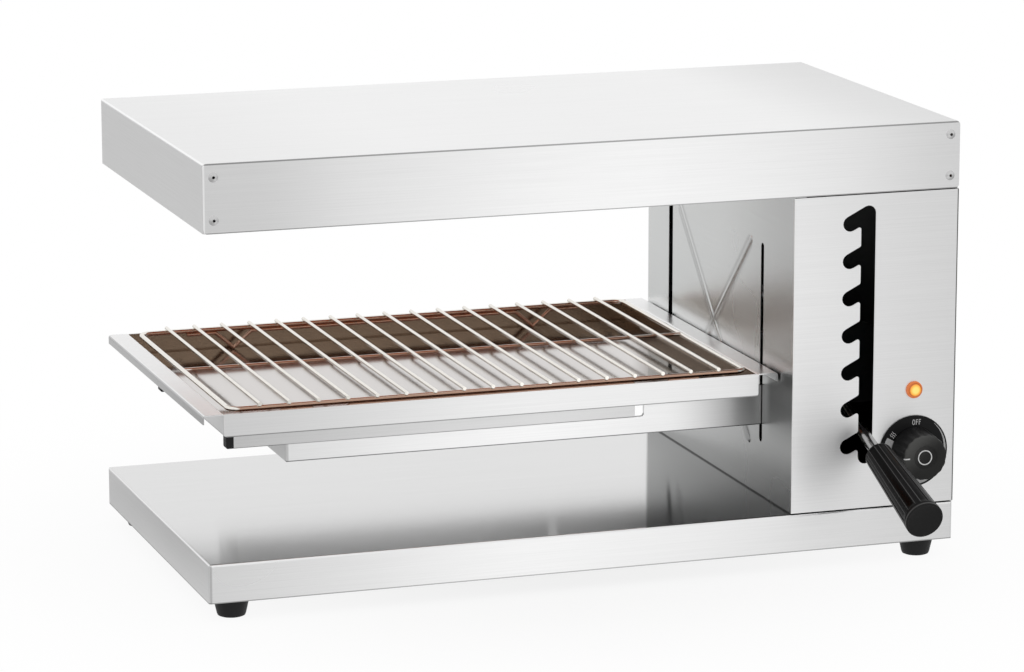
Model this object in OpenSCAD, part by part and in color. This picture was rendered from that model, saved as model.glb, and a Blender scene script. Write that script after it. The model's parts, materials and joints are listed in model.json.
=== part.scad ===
// Cheese melter: a bench-top overhead grill with a lever-lifted tray.
// X runs to the right, Y to the back and Z up. The origin lies on the
// bench, in the middle of the housing's footprint. Sizes are millimetres.

/* [Housing] */
// Width of the housing
body_w = 600; // [560:10:680]
// Depth of the housing
body_d = 320; // [310:5:360]
// Height of the flat base
base_h = 30; // [26:1:40]
// Clear height between base and hood
opening_h = 249; // [245:1:280]
// Height of the heated hood
hood_h = 52; // [48:1:64]
// Width of the column
col_w = 136; // [130:1:160]
// Thickness of the housing's sheet
sheet_t = 1.2; // [0.8:0.1:1.5]
// Outer radius of the housing's bends
edge_r = 2; // [1.8:0.1:3]
// Width of the base's return flange
base_flange_w = 36; // [32:1:50]
// Width of the hood's return flange
hood_flange_w = 15; // [12:1:24]

/* [Feet] */
// Height of a foot below the base
foot_h = 15; // [12:1:25]
// Diameter of a foot at its top
foot_top_d = 27; // [24:1:32]
// Diameter of a foot on the bench
foot_tip_d = 22; // [18:1:24]
// Distance from a foot's axis to the side of the housing
foot_inset_x = 22; // [20:1:40]
// Distance from a foot's axis to the front or back
foot_inset_y = 20; // [19:1:24]
// Diameter of a foot screw
foot_screw_d = 5; // [4:0.5:6]

/* [Heating] */
// Diameter of the heating element tube
element_d = 8; // [6.5:0.5:8.5]
// Runs in one element
element_runs = 4; // [2:2:4]
// Depth of the reflector
reflector_h = 36; // [30:1:38]
// Thickness of the reflector sheet
reflector_t = 0.8; // [0.6:0.1:1]
// Thickness of an element hanger
hanger_t = 1.5; // [1:0.1:2]

/* [Gate] */
// Distance from the column's left face to the middle of the lever channel
gate_x = 61; // [57:1:64]
// Width of the lever channel and of its notches
gate_w = 12; // [11.6:0.1:13]
// Number of latching notches
notch_count = 7; // [4:1:7]
// Height from the housing's floor to the lowest notch mouth
gate_low = 58; // [56:1:62]
// Height of the lever's travel at the gate
gate_travel = 175.5; // [165:0.5:178]
// Sideways reach of a notch
notch_reach = 15; // [14.6:0.1:15.4]
// Drop of a notch over its reach
notch_drop = 7.6; // [7.3:0.1:7.9]
// Length of channel below the lowest notch mouth
gate_tail = 16; // [10:1:20]
// Fillet on the teeth of the gate
tooth_r = 1.6; // [0.8:0.1:2]

/* [Lever] */
// Distance from the lever's pivot to the back of the housing
pivot_back = 60; // [55:1:70]
// Distance from the pivot to the swivel pin
swivel_offset = 22; // [21:1:26]
// Diameter of the lever rod
rod_d = 9.5; // [8:0.1:10]
// Diameter of the lever's pivot pin
pivot_pin_d = 8; // [6:0.5:9]
// Diameter of the lever's swivel pin
swivel_pin_d = 6; // [5:0.5:7]
// Distance from the gate to the grip, along the rod
grip_start = 27; // [24:1:40]
// Length of the grip
grip_len = 92; // [80:1:110]
// Diameter of the grip's inner end
grip_d1 = 22; // [20:1:24]
// Diameter of the grip's outer end
grip_d2 = 30; // [26:1:31]
// Number of grooves along the grip
grip_grooves = 8; // [6:1:10]
// Thickness of the grip's end cap
grip_cap_t = 3.5; // [3:0.5:5]

/* [Carriage] */
// Travel of the carriage
lift_travel = 105; // [90:1:106]
// Diameter of a guide rod
guide_d = 8; // [6:0.5:10]
// Distance from the inner wall's outer face to the guide rods
guide_offset = 26; // [25:1:28]
// Distance from a fork arm to the guide rod beside it
guide_inset = 18.5; // [14:0.5:22]
// Thickness of the carriage plates
plate_t = 3; // [2:0.5:4]
// Height of the carriage plate
plate_h = 100; // [92:1:102]
// Height of the carriage plate above the fork arms
plate_rise = 36; // [32:1:37]
// Length of a slider
slider_h = 18; // [14:1:24]

/* [Fork] */
// Distance from the drip pan's front edge to the front arm
arm_inset_front = 37.5; // [32:0.5:42]
// Distance from the drip pan's rear edge to the rear arm
arm_inset_rear = 60.5; // [56:0.5:66]
// Thickness of a fork arm
arm_t = 3; // [2:0.5:4]
// Height of a fork arm at the column
arm_h = 31.4; // [28:0.2:36]
// Height of a fork arm under the runners
arm_step_h = 13.8; // [12:0.2:16]
// Height of the fork's underside above the housing's floor, tray down
fork_low = 57.8; // [55:0.2:62]
// Reach of the fork from the column
fork_reach = 386; // [360:1:395]
// Distance from the column to the step in an arm
step_reach = 98; // [90:1:105]

/* [Tray] */
// Width of the drip pan's well
pan_w = 426.5; // [410:0.5:430]
// Depth of the drip pan, front to back
pan_d = 300; // [280:1:305]
// Distance of the tray's middle behind the housing's middle
tray_shift = 17.5; // [8:0.5:20]
// Height of the drip pan
pan_h = 17.7; // [15:0.1:22]
// Thickness of the drip pan's sheet
pan_t = 1; // [0.8:0.1:1.2]
// Inside bend radius of the drip pan
pan_bend_r = 1.2; // [1:0.1:2]
// Width of the drip pan's side flanges
flange_w = 16; // [10:0.5:16.5]
// Drop of the lips on the side flanges
lip_h = 7; // [5:0.5:9]
// Gap between the drip pan and the column
pan_gap = 1.2; // [1:0.1:4]
// Width of a runner
runner_w = 8; // [6:0.5:10]
// Length of a runner
runner_len = 321; // [280:1:324]
// Wall of a runner
runner_t = 1; // [0.8:0.1:1.5]
// Gap between a runner's end and the step of the arm
runner_gap = 8.5; // [4:0.5:10]
// Length of a runner's end plug outside the runner
plug_len = 6; // [4:0.5:8]

/* [Grate] */
// Gap between the grate's frame and the left and right of the well
grate_gap_x = 4.2; // [1:0.1:12]
// Gap between the grate's frame and the front and rear of the well
grate_gap_y = 6.5; // [1:0.1:16]
// Diameter of the frame wire
frame_wire_d = 4; // [3:0.5:6]
// Diameter of the cross wires
cross_wire_d = 3; // [2:0.5:4]
// Number of cross wires
cross_wires = 17; // [11:1:21]
// Corner radius of the frame wire
grate_corner_r = 9; // [6:1:24]
// Height from the pan's floor to the middle of the frame wire
grate_rise = 17.6; // [12:0.1:19]
// Diameter of the foot wires
foot_wire_d = 3; // [2:0.5:4]
// Distance from the grate's side to the end of a foot wire
foot_wire_inset = 41; // [30:1:60]
// Distance from the grate's side to a dip that it stands on
dip_inset = 80; // [62:1:100]
// Half width of a dip in a foot wire
dip_half_w = 15; // [10:1:18]

/* [Controls] */
// Distance from the knob's axis to the column's right face
knob_x = 34.5; // [33:0.5:37]
// Height of the knob's axis above the housing's floor
knob_z = 43; // [38:1:48]
// Diameter of the dial
dial_d = 57; // [50:1:58]
// Diameter of the knob
knob_d = 39; // [36:1:45]
// Height of the knob
knob_h = 20; // [16:1:24]
// Flutes around the knob
knob_flutes = 18; // [12:1:24]
// Diameter of the regulator's shaft
shaft_d = 6; // [5:0.5:6.5]
// Height of the pilot lamp above the knob's axis
lamp_rise = 48.9; // [45:0.1:55]
// Diameter of the pilot lamp's lens
lamp_d = 13.5; // [11:0.5:15]

/* [Hidden] */

$fn = 32;
eps = 0.01;
seat_gap = 0.2;      // gap between pieces that rest on each other across a joint
fit_gap = 0.05;      // radial gap of a pin or rod that is held
run_gap = 0.08;      // radial gap of a pin or rod that turns or slides

// Planes of the housing
left_x = -body_w / 2;
right_x = body_w / 2;
front_y = -body_d / 2;
back_y = body_d / 2;
base_z = foot_h;
floor_z = base_z + base_h;
hood_z = floor_z + opening_h;
top_z = hood_z + hood_h;
wall_x = right_x - col_w;
wall_in_x = wall_x + sheet_t;

// Gate and lever
channel_x = wall_x + gate_x;
mouth_z = floor_z + gate_low;
notch_pitch = gate_travel / (notch_count - 1);
pivot_depth = body_d - pivot_back;
pivot_y = front_y + pivot_depth;
pivot_z = mouth_z + gate_travel / 2;
rest_pitch = atan(gate_travel / 2 / pivot_depth);
latch_roll = atan(notch_drop / notch_reach * cos(rest_pitch));
gate_along = pivot_depth / cos(rest_pitch);
grip_from = gate_along + grip_start;
grip_to = grip_from + grip_len;

// Tray, front to back
pan_mid_y = tray_shift;
pan_front_y = pan_mid_y - pan_d / 2;

// Carriage: the rod meets the saddle where half the lift equals half the pitch
saddle_depth = lift_travel / 2 / tan(rest_pitch);
saddle_y = pivot_y - saddle_depth;
saddle_rod_z = pivot_z - lift_travel / 2;
plate_offset = 8;
plate_x = wall_x + plate_offset;
plate_right_x = plate_x + plate_t;
arm_front_y = pan_front_y + arm_inset_front;
arm_rear_y = pan_front_y + pan_d - arm_inset_rear;
fork_z = floor_z + fork_low;
arm_top_z = fork_z + arm_h;
step_z = fork_z + arm_step_h;
fork_end_x = wall_x - fork_reach;
step_x = wall_x - step_reach;
plate_low_z = arm_top_z + plate_rise - plate_h;
guide_x = wall_x + guide_offset;
guide_mid_y = (arm_front_y + arm_rear_y) / 2;
guide_ys = [arm_front_y + guide_inset, arm_rear_y - guide_inset];
slider_wall = 4;
slider_w = guide_d + 2 * slider_wall;

// Tray, upwards and sideways
runner_z = step_z + seat_gap;
runner_h = arm_h - arm_step_h;
pan_z = runner_z + runner_h;
pan_right_x = wall_x - pan_gap - flange_w;
pan_left_x = pan_right_x - pan_w;
pan_rim_drop = 0.2;  // the end walls stop just below the side flanges
runner_x = step_x - runner_gap - runner_len;
grate_z = pan_z + pan_t + grate_rise;
grate_mid_x = (pan_left_x + pan_right_x) / 2;
grate_w = pan_w - 2 * (pan_t + grate_gap_x);
grate_d = pan_d - 2 * (pan_t + grate_gap_y);

// Controls
knob_axis_x = right_x - knob_x;
knob_axis_z = floor_z + knob_z;
dial_t = 1.5;

// A rectangle with round corners, from its lower left corner
module round_rect(w, h, r) {
    translate([r, 0]) square([w - 2 * r, h]);
    translate([0, r]) square([w, h - 2 * r]);
    for (x = [r, w - r], y = [r, h - r]) translate([x, y]) circle(r);
}

// A slot with round ends: its length runs along Y between end centres
module slot_2d(w, len) {
    translate([-w / 2, 0]) square([w, len]);
    for (y = [0, len]) translate([0, y]) circle(w / 2);
}

// A rectangle whose two upper corners are round
module arch_rect(w, h, r) {
    intersection() {
        translate([0, -h]) round_rect(w, 2 * h, r);
        square([w, h]);
    }
}

// A block whose upright corners and upper edges are round
module folded_block(w, d, h, r) {
    intersection() {
        linear_extrude(h) round_rect(w, d, r);
        translate([0, d, 0]) rotate([90, 0, 0]) linear_extrude(d) arch_rect(w, h, r);
        rotate([90, 0, 90]) linear_extrude(w) arch_rect(d, h, r);
    }
}

// A folded cover, open below apart from openings cut in its floor by the caller
module folded_cover(w, d, h, r, t) {
    difference() {
        folded_block(w, d, h, r);
        translate([t, t, t]) folded_block(w - 2 * t, d - 2 * t, h - 2 * t, r - t);
    }
}

// A tube run along X, from x0 to x1
module run_x(x0, x1, d) {
    translate([x0, 0, 0]) rotate([0, 90, 0]) cylinder(d = d, h = x1 - x0);
}

// A half ring that joins two runs, bulging towards +X
module u_bend(pitch, d) {
    rotate([0, 0, -90]) rotate_extrude(angle = 180) translate([pitch / 2, 0]) circle(d / 2);
}

module foot_at(sx, sy) {
    translate([sx * (body_w / 2 - foot_inset_x), sy * (body_d / 2 - foot_inset_y), 0]) children();
}

// ---- Base ----

base_opening_r = 6;

module base_shell() {
    color("silver")
    translate([left_x, front_y, base_z])
    difference() {
        folded_cover(body_w, body_d, base_h, edge_r, sheet_t);
        translate([base_flange_w, base_flange_w, -eps])
            linear_extrude(sheet_t + 2 * eps)
            round_rect(body_w - 2 * base_flange_w, body_d - 2 * base_flange_w, base_opening_r);
        for (x = [foot_inset_x, body_w - foot_inset_x], y = [foot_inset_y, body_d - foot_inset_y])
            translate([x, y, -1]) cylinder(d = foot_screw_d + 2 * fit_gap, h = sheet_t + 2);
    }
}

foot_recess_d = foot_screw_d * 2;
foot_web_h = 6;
foot_edge = 2;
foot_recess_h = foot_h - foot_web_h;

module foot() {
    bore_r = foot_screw_d / 2 + fit_gap;
    recess_r = foot_recess_d / 2 + 0.5;
    color("#1c1c1e")
    rotate_extrude() polygon([
        [bore_r, foot_h], [foot_top_d / 2, foot_h], [foot_top_d / 2, foot_h - foot_edge],
        [foot_tip_d / 2, foot_edge], [foot_tip_d / 2 - foot_edge * 0.3, foot_edge * 0.3],
        [foot_tip_d / 2 - foot_edge, 0],
        [recess_r, 0], [recess_r, foot_recess_h], [bore_r, foot_recess_h]
    ]);
}

module foot_front_left() foot_at(-1, -1) foot();
module foot_front_right() foot_at(1, -1) foot();
module foot_rear_left() foot_at(-1, 1) foot();
module foot_rear_right() foot_at(1, 1) foot();

module foot_screws() {
    head_h = foot_screw_d * 0.6;
    nut_h = foot_screw_d * 0.8;
    color("#b9bcc0")
    for (sx = [-1, 1], sy = [-1, 1]) foot_at(sx, sy) {
        translate([0, 0, foot_recess_h - head_h]) difference() {
            cylinder(d = foot_screw_d * 1.8, h = head_h);
            translate([-foot_screw_d, -0.6, -eps]) cube([2 * foot_screw_d, 1.2, head_h / 2]);
        }
        cylinder_up(foot_recess_h - eps, foot_h + sheet_t + nut_h + 2, foot_screw_d);
        translate([0, 0, foot_h + sheet_t]) cylinder(d = foot_screw_d * 1.8, h = nut_h, $fn = 6);
    }
}

// An upright cylinder from z0 to z1
module cylinder_up(z0, z1, d) {
    translate([0, 0, z0]) cylinder(d = d, h = z1 - z0);
}

// ---- Hood ----

shell_front_y = front_y + sheet_t;
heat_x0 = left_x + hood_flange_w;
heat_x1 = wall_x - hood_flange_w;
heat_y0 = shell_front_y + hood_flange_w;
heat_y1 = back_y - hood_flange_w;
rivet_inset_x = 7.8;
rivet_inset_z = 10;
rivet_d = 4;
rivet_tail = 2.5;
heat_opening_r = 4;
wiring_inset = 20;
wiring_d = 150;
wiring_r = 8;
panel_corner_r = 3;

module rivet_places() {
    for (x = [left_x + rivet_inset_x, right_x - rivet_inset_x],
         z = [hood_z + rivet_inset_z, top_z - rivet_inset_z])
        translate([x, front_y, z]) rotate([90, 0, 0]) children();
}

module hood_shell() {
    color("silver")
    difference() {
        translate([left_x, shell_front_y, hood_z])
            folded_cover(body_w, body_d - sheet_t, hood_h, edge_r, sheet_t);
        translate([heat_x0, heat_y0, hood_z - eps])
            linear_extrude(sheet_t + 2 * eps)
            round_rect(heat_x1 - heat_x0, heat_y1 - heat_y0, heat_opening_r);
        translate([guide_x + wiring_inset, -wiring_d / 2, hood_z - eps])
            linear_extrude(sheet_t + 2 * eps)
            round_rect(col_w - guide_offset - 2 * wiring_inset, wiring_d, wiring_r);
        rivet_places() translate([0, 0, -4 * sheet_t])
            cylinder(d = rivet_d + 2 * fit_gap, h = 8 * sheet_t);
    }
}

module hood_front_panel() {
    color("#d2d3d4")
    difference() {
        translate([left_x, front_y + sheet_t, hood_z])
            rotate([90, 0, 0]) linear_extrude(sheet_t) round_rect(body_w, hood_h, panel_corner_r);
        rivet_places() translate([0, 0, -4 * sheet_t])
            cylinder(d = rivet_d + 2 * fit_gap, h = 8 * sheet_t);
    }
}

// A blind rivet with its domed head on z = 0
module blind_rivet(grip) {
    head_r = rivet_d * 0.94;
    dome_h = 1.5;
    dome_r = (head_r * head_r + dome_h * dome_h) / (2 * dome_h);
    rotate_extrude() difference() {
        union() {
            intersection() {
                translate([0, dome_h - dome_r]) circle(dome_r, $fn = 64);
                square([head_r, dome_h]);
            }
            translate([0, -grip - rivet_tail]) square([rivet_d / 2, grip + rivet_tail + eps]);
        }
        translate([0, -2 * (grip + rivet_tail)]) square([rivet_d * 0.28, 4 * (grip + rivet_tail)]);
    }
}

module hood_rivets() {
    color("#c4c6c8") rivet_places() blind_rivet(2 * sheet_t);
}

rim_w = 7;
slope_w = 14;
reflector_z = hood_z + sheet_t;

// A block whose four sides slope inwards by `in` over its height
module sloped_block(w, d, h, in) {
    intersection() {
        translate([0, d, 0]) rotate([90, 0, 0]) linear_extrude(d)
            polygon([[0, 0], [w, 0], [w - in, h], [in, h]]);
        rotate([90, 0, 90]) linear_extrude(w)
            polygon([[0, 0], [d, 0], [d - in, h], [in, h]]);
    }
}

element_z = reflector_z + reflector_h * 0.5;
heat_mid_x = (heat_x0 + heat_x1) / 2;
heat_mid_y = (heat_y0 + heat_y1) / 2;
element_room = 5;
side_room = slope_w + reflector_t + element_room;
element_pitch = ((heat_y1 - heat_y0) / 2 - side_room - element_d / 2) / (element_runs - 0.5);
bend_room = side_room + (element_pitch + element_d) / 2;
element_x0 = heat_x0 + bend_room;
element_x1 = heat_x1 - bend_room;
terminal_inset = 4;
terminal_foot_w = 12;
terminal_reach = 14;
ceramic_len = 8;
stud_len = 8;
stud_d = 3;
terminal_x = wall_x + terminal_inset;

// Middle of each run of both elements
function run_ys(side) =
    [for (i = [0:element_runs - 1]) heat_mid_y + side * (i + 0.5) * element_pitch];

module hood_reflector() {
    w = heat_x1 - heat_x0;
    d = heat_y1 - heat_y0;
    color("#c9cbcd")
    difference() {
        translate([heat_x0, heat_y0, reflector_z]) {
            sloped_block(w, d, reflector_h, slope_w);
            translate([-rim_w, -rim_w, 0]) cube([w + 2 * rim_w, d + 2 * rim_w, reflector_t]);
        }
        translate([heat_x0 + reflector_t, heat_y0 + reflector_t, reflector_z - eps])
            sloped_block(w - 2 * reflector_t, d - 2 * reflector_t, reflector_h - reflector_t, slope_w);
        for (side = [-1, 1], k = [0, element_runs - 1])
            translate([0, run_ys(side)[k], element_z])
                run_x(heat_mid_x, wall_x, element_d + 2 * seat_gap);
    }
}

// A serpentine element: the outer ends of its first and last runs pass to the terminals
module element(side) {
    ys = run_ys(side);
    last = element_runs - 1;
    color("#6b5a50") {
        for (k = [0:last])
            translate([0, ys[k], element_z])
                run_x(element_x0, k == 0 || k == last ? terminal_x + terminal_reach : element_x1,
                      element_d);
        for (k = [0:2:last])
            translate([element_x0, (ys[k] + ys[k + 1]) / 2, element_z])
                rotate([0, 0, 180]) u_bend(element_pitch, element_d);
        if (last > 1)
            for (k = [1:2:last - 1])
                translate([element_x1, (ys[k] + ys[k + 1]) / 2, element_z])
                    u_bend(element_pitch, element_d);
    }
}

module element_front() element(-1);
module element_rear() element(1);

hanger_inset = 40;
hanger_below = 3.5;
hanger_beside = 4;
relief_r = 7;

// Upright combs that hang from the reflector and carry the runs
module element_hangers() {
    top = reflector_z + reflector_h - reflector_t;
    low = element_z - element_d / 2 - hanger_below;
    reach = (element_runs - 0.5) * element_pitch + element_d / 2 + hanger_beside;
    color("#a9abad")
    for (x = [element_x0 + hanger_inset, element_x1 - hanger_inset])
        difference() {
            translate([x, heat_mid_y - reach, low]) cube([hanger_t, 2 * reach, top - low]);
            for (side = [-1, 1], y = run_ys(side))
                translate([0, y, element_z]) run_x(x - 1, x + hanger_t + 1, element_d + 2 * seat_gap);
            for (i = [-element_runs + 1:element_runs - 1])
                translate([x - 1, heat_mid_y + i * element_pitch, low - eps])
                    rotate([90, 0, 90]) linear_extrude(hanger_t + 2)
                    translate([-relief_r, -relief_r])
                    arch_rect(2 * relief_r, relief_r + (top - low) * 0.55, relief_r - 10 * eps);
        }
}

// The plate that the element ends pass through, standing on the hood's floor
module terminal_plate() {
    low = reflector_z;
    h = reflector_h;
    y0 = heat_y0 + terminal_inset;
    y1 = heat_y1 - terminal_inset;
    color("#b4b6b8")
    difference() {
        union() {
            translate([terminal_x, y0, low]) cube([sheet_t, y1 - y0, h]);
            translate([terminal_x, y0, low]) cube([terminal_foot_w, y1 - y0, sheet_t]);
        }
        for (side = [-1, 1], k = [0, element_runs - 1])
            translate([0, run_ys(side)[k], element_z])
                run_x(terminal_x - 1, terminal_x + sheet_t + 1, element_d + 2 * seat_gap);
    }
}

// Ceramic ends with their threaded studs
module element_terminals() {
    color("#e6e1d6")
    for (side = [-1, 1], k = [0, element_runs - 1])
        translate([terminal_x + terminal_reach, run_ys(side)[k], element_z]) {
            run_x(0, ceramic_len, element_d * 0.875);
            run_x(ceramic_len, ceramic_len + stud_len, stud_d);
        }
}

// ---- Column ----

slot_below = 14.3;
slot_above = 8;
front_slot_gap = 1.5;
rear_slot_gap = 3;
slot_low_z = fork_z - slot_below;
slot_high_z = arm_top_z + lift_travel + slot_above;
front_slot_w = arm_t + 2 * front_slot_gap;
rear_slot_w = arm_t + 2 * rear_slot_gap;
bead_r = 7;
bead_h = 0.8;
bead_from_front = 24;
bead_from_rear = 20;
wall_fold = 10;

module wall_slot(y, w) {
    translate([wall_x - 3, y, slot_low_z + w / 2]) rotate([90, 0, 90])
        linear_extrude(sheet_t + 6) slot_2d(w, slot_high_z - slot_low_z - w);
}

// A shallow pressed bead between two points (y, z) of the inner wall
module bead(from, to) {
    run = to - from;
    translate([wall_x + bead_r - bead_h, from[0], from[1]])
        rotate([atan2(run[1], run[0]) - 90, 0, 0]) {
            cylinder(r = bead_r, h = norm(run));
            sphere(bead_r);
            translate([0, 0, norm(run)]) sphere(bead_r);
        }
}

module column_inner_wall() {
    y0 = front_y + sheet_t;
    y1 = back_y - sheet_t;
    bead_y0 = arm_front_y + bead_from_front;
    bead_y1 = arm_rear_y - bead_from_rear;
    bead_z0 = slot_low_z - front_slot_gap * 2;
    bead_z1 = slot_high_z - front_slot_gap;
    color("#c3c5c7")
    difference() {
        union() {
            translate([wall_x, y0, floor_z]) cube([sheet_t, y1 - y0, opening_h]);
            for (y = [y0, y1 - sheet_t])
                translate([wall_x, y, floor_z]) cube([wall_fold, sheet_t, opening_h]);
            intersection() {
                translate([wall_x - 2 * bead_h, y0, floor_z])
                    cube([2 * bead_h + sheet_t / 2, y1 - y0, opening_h]);
                union() {
                    bead([bead_y0, bead_z0], [bead_y1, bead_z1]);
                    bead([bead_y0, bead_z1], [bead_y1, bead_z0]);
                }
            }
        }
        wall_slot(arm_front_y, front_slot_w);
        wall_slot(arm_rear_y, rear_slot_w);
        rear_screw_holes();
    }
}

// The lever gate: an upright channel with slanted notches on its left
module gate_2d() {
    slant = atan(notch_drop / notch_reach);
    notch_len = norm([notch_reach, notch_drop]);
    translate([0, -gate_tail]) slot_2d(gate_w, gate_tail + gate_travel);
    for (i = [0:notch_count - 1])
        translate([0, i * notch_pitch]) rotate(90 + slant) slot_2d(gate_w, notch_len);
}

panel_seam = 0.8;

module column_front_panel() {
    color("#d0d1d2")
    difference() {
        union() {
            translate([wall_x, front_y + sheet_t, floor_z]) rotate([90, 0, 0]) linear_extrude(sheet_t)
                difference() {
                    translate([0, panel_seam]) square([col_w, opening_h - 2 * panel_seam]);
                    translate([gate_x, gate_low])
                        offset(r = -tooth_r, $fn = 16) offset(delta = tooth_r) gate_2d();
                }
            translate([right_x - 2 * sheet_t, front_y + sheet_t - eps, floor_z + panel_seam])
                cube([sheet_t, fold_w, opening_h - 2 * panel_seam]);
        }
        front_hole(knob_axis_z, shaft_d * 5 / 3);
        front_hole(knob_axis_z + lamp_rise, lamp_hole_d);
        side_rivet_holes();
    }
}

lamp_ledge = 1.5;
lamp_hole_d = lamp_d - 2 * lamp_ledge;

// A round hole through the column's front, above or on the knob's axis
module front_hole(z, d) {
    translate([knob_axis_x, front_y + sheet_t + 1, z]) rotate([90, 0, 0])
        cylinder(d = d, h = sheet_t + 2);
}

fold_w = 14;
side_rivet_low = 19;
side_rivet_pitch = 110;

// Rivets that join the side panel to the front panel's return
module side_rivet_places() {
    for (z = [floor_z + side_rivet_low, floor_z + side_rivet_low + side_rivet_pitch])
        translate([right_x, front_y + fold_w / 2 + sheet_t, z]) rotate([0, 90, 0]) children();
}

module side_rivet_holes() {
    side_rivet_places() translate([0, 0, -4 * sheet_t])
        cylinder(d = rivet_d + 2 * fit_gap, h = 8 * sheet_t);
}

module column_side_panel() {
    y0 = front_y + sheet_t;
    y1 = back_y - sheet_t;
    color("silver")
    difference() {
        union() {
            translate([right_x - sheet_t, y0, floor_z]) cube([sheet_t, y1 - y0, opening_h]);
            translate([right_x - fold_w, y1 - sheet_t, floor_z]) cube([fold_w, sheet_t, opening_h]);
        }
        side_rivet_holes();
        rear_screw_holes();
    }
}

module side_rivets() {
    color("#c4c6c8") side_rivet_places() blind_rivet(2 * sheet_t);
}

gland_inset = 43.5;
gland_rise = 34;
gland_x = right_x - gland_inset;
gland_z = floor_z + gland_rise;
gland_d = 16;
vent_len = 34;
vent_w = 4;
vent_gap = 10;
vent_pitch = 10;
vent_rows = 8;
vent_inset = 38;
vent_drop = 96;
rear_corner_r = 2;
rear_screw_d = 3.5;
rear_screw_left = 6;
rear_screw_right = 8;
rear_screw_end = 22;

module rear_screw_places() {
    for (x = [wall_x + rear_screw_left, right_x - rear_screw_right],
         z = [floor_z + rear_screw_end, floor_z + opening_h / 2, hood_z - rear_screw_end])
        translate([x, back_y, z]) rotate([-90, 0, 0]) children();
}

module rear_screw_holes() {
    rear_screw_places() translate([0, 0, -4 * sheet_t])
        cylinder(d = rear_screw_d + 2 * fit_gap, h = 8 * sheet_t);
}

module column_rear_panel() {
    color("#c8cacc")
    difference() {
        translate([wall_x, back_y, floor_z]) rotate([90, 0, 0]) linear_extrude(sheet_t)
            round_rect(col_w, opening_h, rear_corner_r);
        for (row = [0:vent_rows - 1], side = [0, 1])
            translate([wall_x + vent_inset + side * (vent_len + vent_gap), back_y + 1,
                       hood_z - vent_drop + row * vent_pitch])
                rotate([90, 0, 0]) linear_extrude(sheet_t + 2)
                translate([0, vent_w / 2]) rotate(-90) slot_2d(vent_w, vent_len);
        translate([gland_x, back_y + 1, gland_z]) rotate([90, 0, 0])
            cylinder(d = gland_d + 2 * fit_gap, h = sheet_t + 2);
        rear_screw_holes();
    }
}

module rear_screws() {
    color("#b9bcc0")
    rear_screw_places() {
        difference() {
            cylinder(d1 = rear_screw_d * 2, d2 = rear_screw_d * 1.4, h = 1.8);
            for (a = [0, 90]) rotate(a)
                translate([-rear_screw_d * 0.5, -0.4, 0.9]) cube([rear_screw_d, 0.8, 1.2]);
        }
        cylinder_up(-sheet_t - 4, eps, rear_screw_d);
    }
}

// ---- Guides inside the column ----

bracket_t = 4;
bracket_rim = 6;
bracket_w = slider_w + 2 * bracket_rim;
guide_end_gap = 1;

module guide_rod(y) {
    color("#d9dadc")
    translate([guide_x, y, 0])
        cylinder_up(floor_z + guide_end_gap, hood_z - guide_end_gap, guide_d);
}

module guide_rod_front() guide_rod(guide_ys[0]);
module guide_rod_rear() guide_rod(guide_ys[1]);

// A flat bracket with a bore for each guide rod, its lower face at z
module guide_bracket(z) {
    bracket_len = guide_ys[1] - guide_ys[0] + bracket_w;
    color("#9ea1a4")
    difference() {
        translate([guide_x - bracket_w / 2, guide_mid_y - bracket_len / 2, z])
            linear_extrude(bracket_t) round_rect(bracket_w, bracket_len, bracket_w / 2 - eps);
        for (y = guide_ys)
            translate([guide_x, y, z - 1]) cylinder(d = guide_d + 2 * fit_gap, h = bracket_t + 2);
    }
}

module guide_bracket_lower() guide_bracket(floor_z);
module guide_bracket_upper() guide_bracket(hood_z - bracket_t);

slider_inset = 2;
slider_low_z = plate_low_z + slider_inset;
buffer_wall = 5;
buffer_nose_wall = 3;
buffer_nose_h = 3;

// A rubber buffer round a guide rod: the carriage's lower stop
module buffer(y) {
    buffer_h = slider_low_z - floor_z - bracket_t - seat_gap;
    color("#232325")
    translate([guide_x, y, floor_z + bracket_t]) difference() {
        union() {
            cylinder(r = guide_d / 2 + buffer_wall, h = buffer_h - buffer_nose_h);
            cylinder(r = guide_d / 2 + buffer_nose_wall, h = buffer_h);
        }
        translate([0, 0, -1]) cylinder(d = guide_d + 2 * fit_gap, h = opening_h / 2);
    }
}

module buffer_front() buffer(guide_ys[0]);
module buffer_rear() buffer(guide_ys[1]);

// ---- Lever bracket and pin ----

ear_gap = 28;
ear_t = 3;
ear_r = 13;
ear_len = 28;
web_y = pivot_y + ear_len;
bracket_h = 52;
bracket_flange_w = 12;
pin_tail = 2;
pin_head_h = 2.5;

module lever_bracket() {
    ear_xs = [channel_x - ear_gap / 2 - ear_t, channel_x + ear_gap / 2];
    low = pivot_z - bracket_h / 2;
    color("#a3a6a9")
    difference() {
        union() {
            for (x = ear_xs) translate([x, pivot_y, pivot_z]) {
                rotate([0, 90, 0]) cylinder(r = ear_r, h = ear_t);
                translate([0, 0, -ear_r]) cube([ear_t, web_y - pivot_y + eps, 2 * ear_r]);
            }
            translate([wall_in_x, web_y, low])
                cube([ear_xs[1] + ear_t - wall_in_x, ear_t, bracket_h]);
            translate([wall_in_x, web_y, low]) cube([ear_t, ear_t + bracket_flange_w, bracket_h]);
        }
        translate([0, pivot_y, pivot_z])
            run_x(ear_xs[0] - 1, ear_xs[1] + ear_t + 1, pivot_pin_d + 2 * fit_gap);
    }
}

module lever_pivot_pin() {
    reach = ear_gap / 2 + ear_t;
    color("#d9dadc")
    translate([channel_x, pivot_y, pivot_z]) {
        run_x(-reach - pin_tail, reach + eps, pivot_pin_d);
        run_x(reach, reach + pin_head_h, pivot_pin_d * 1.5);
    }
}

// ---- Controls ----

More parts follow.
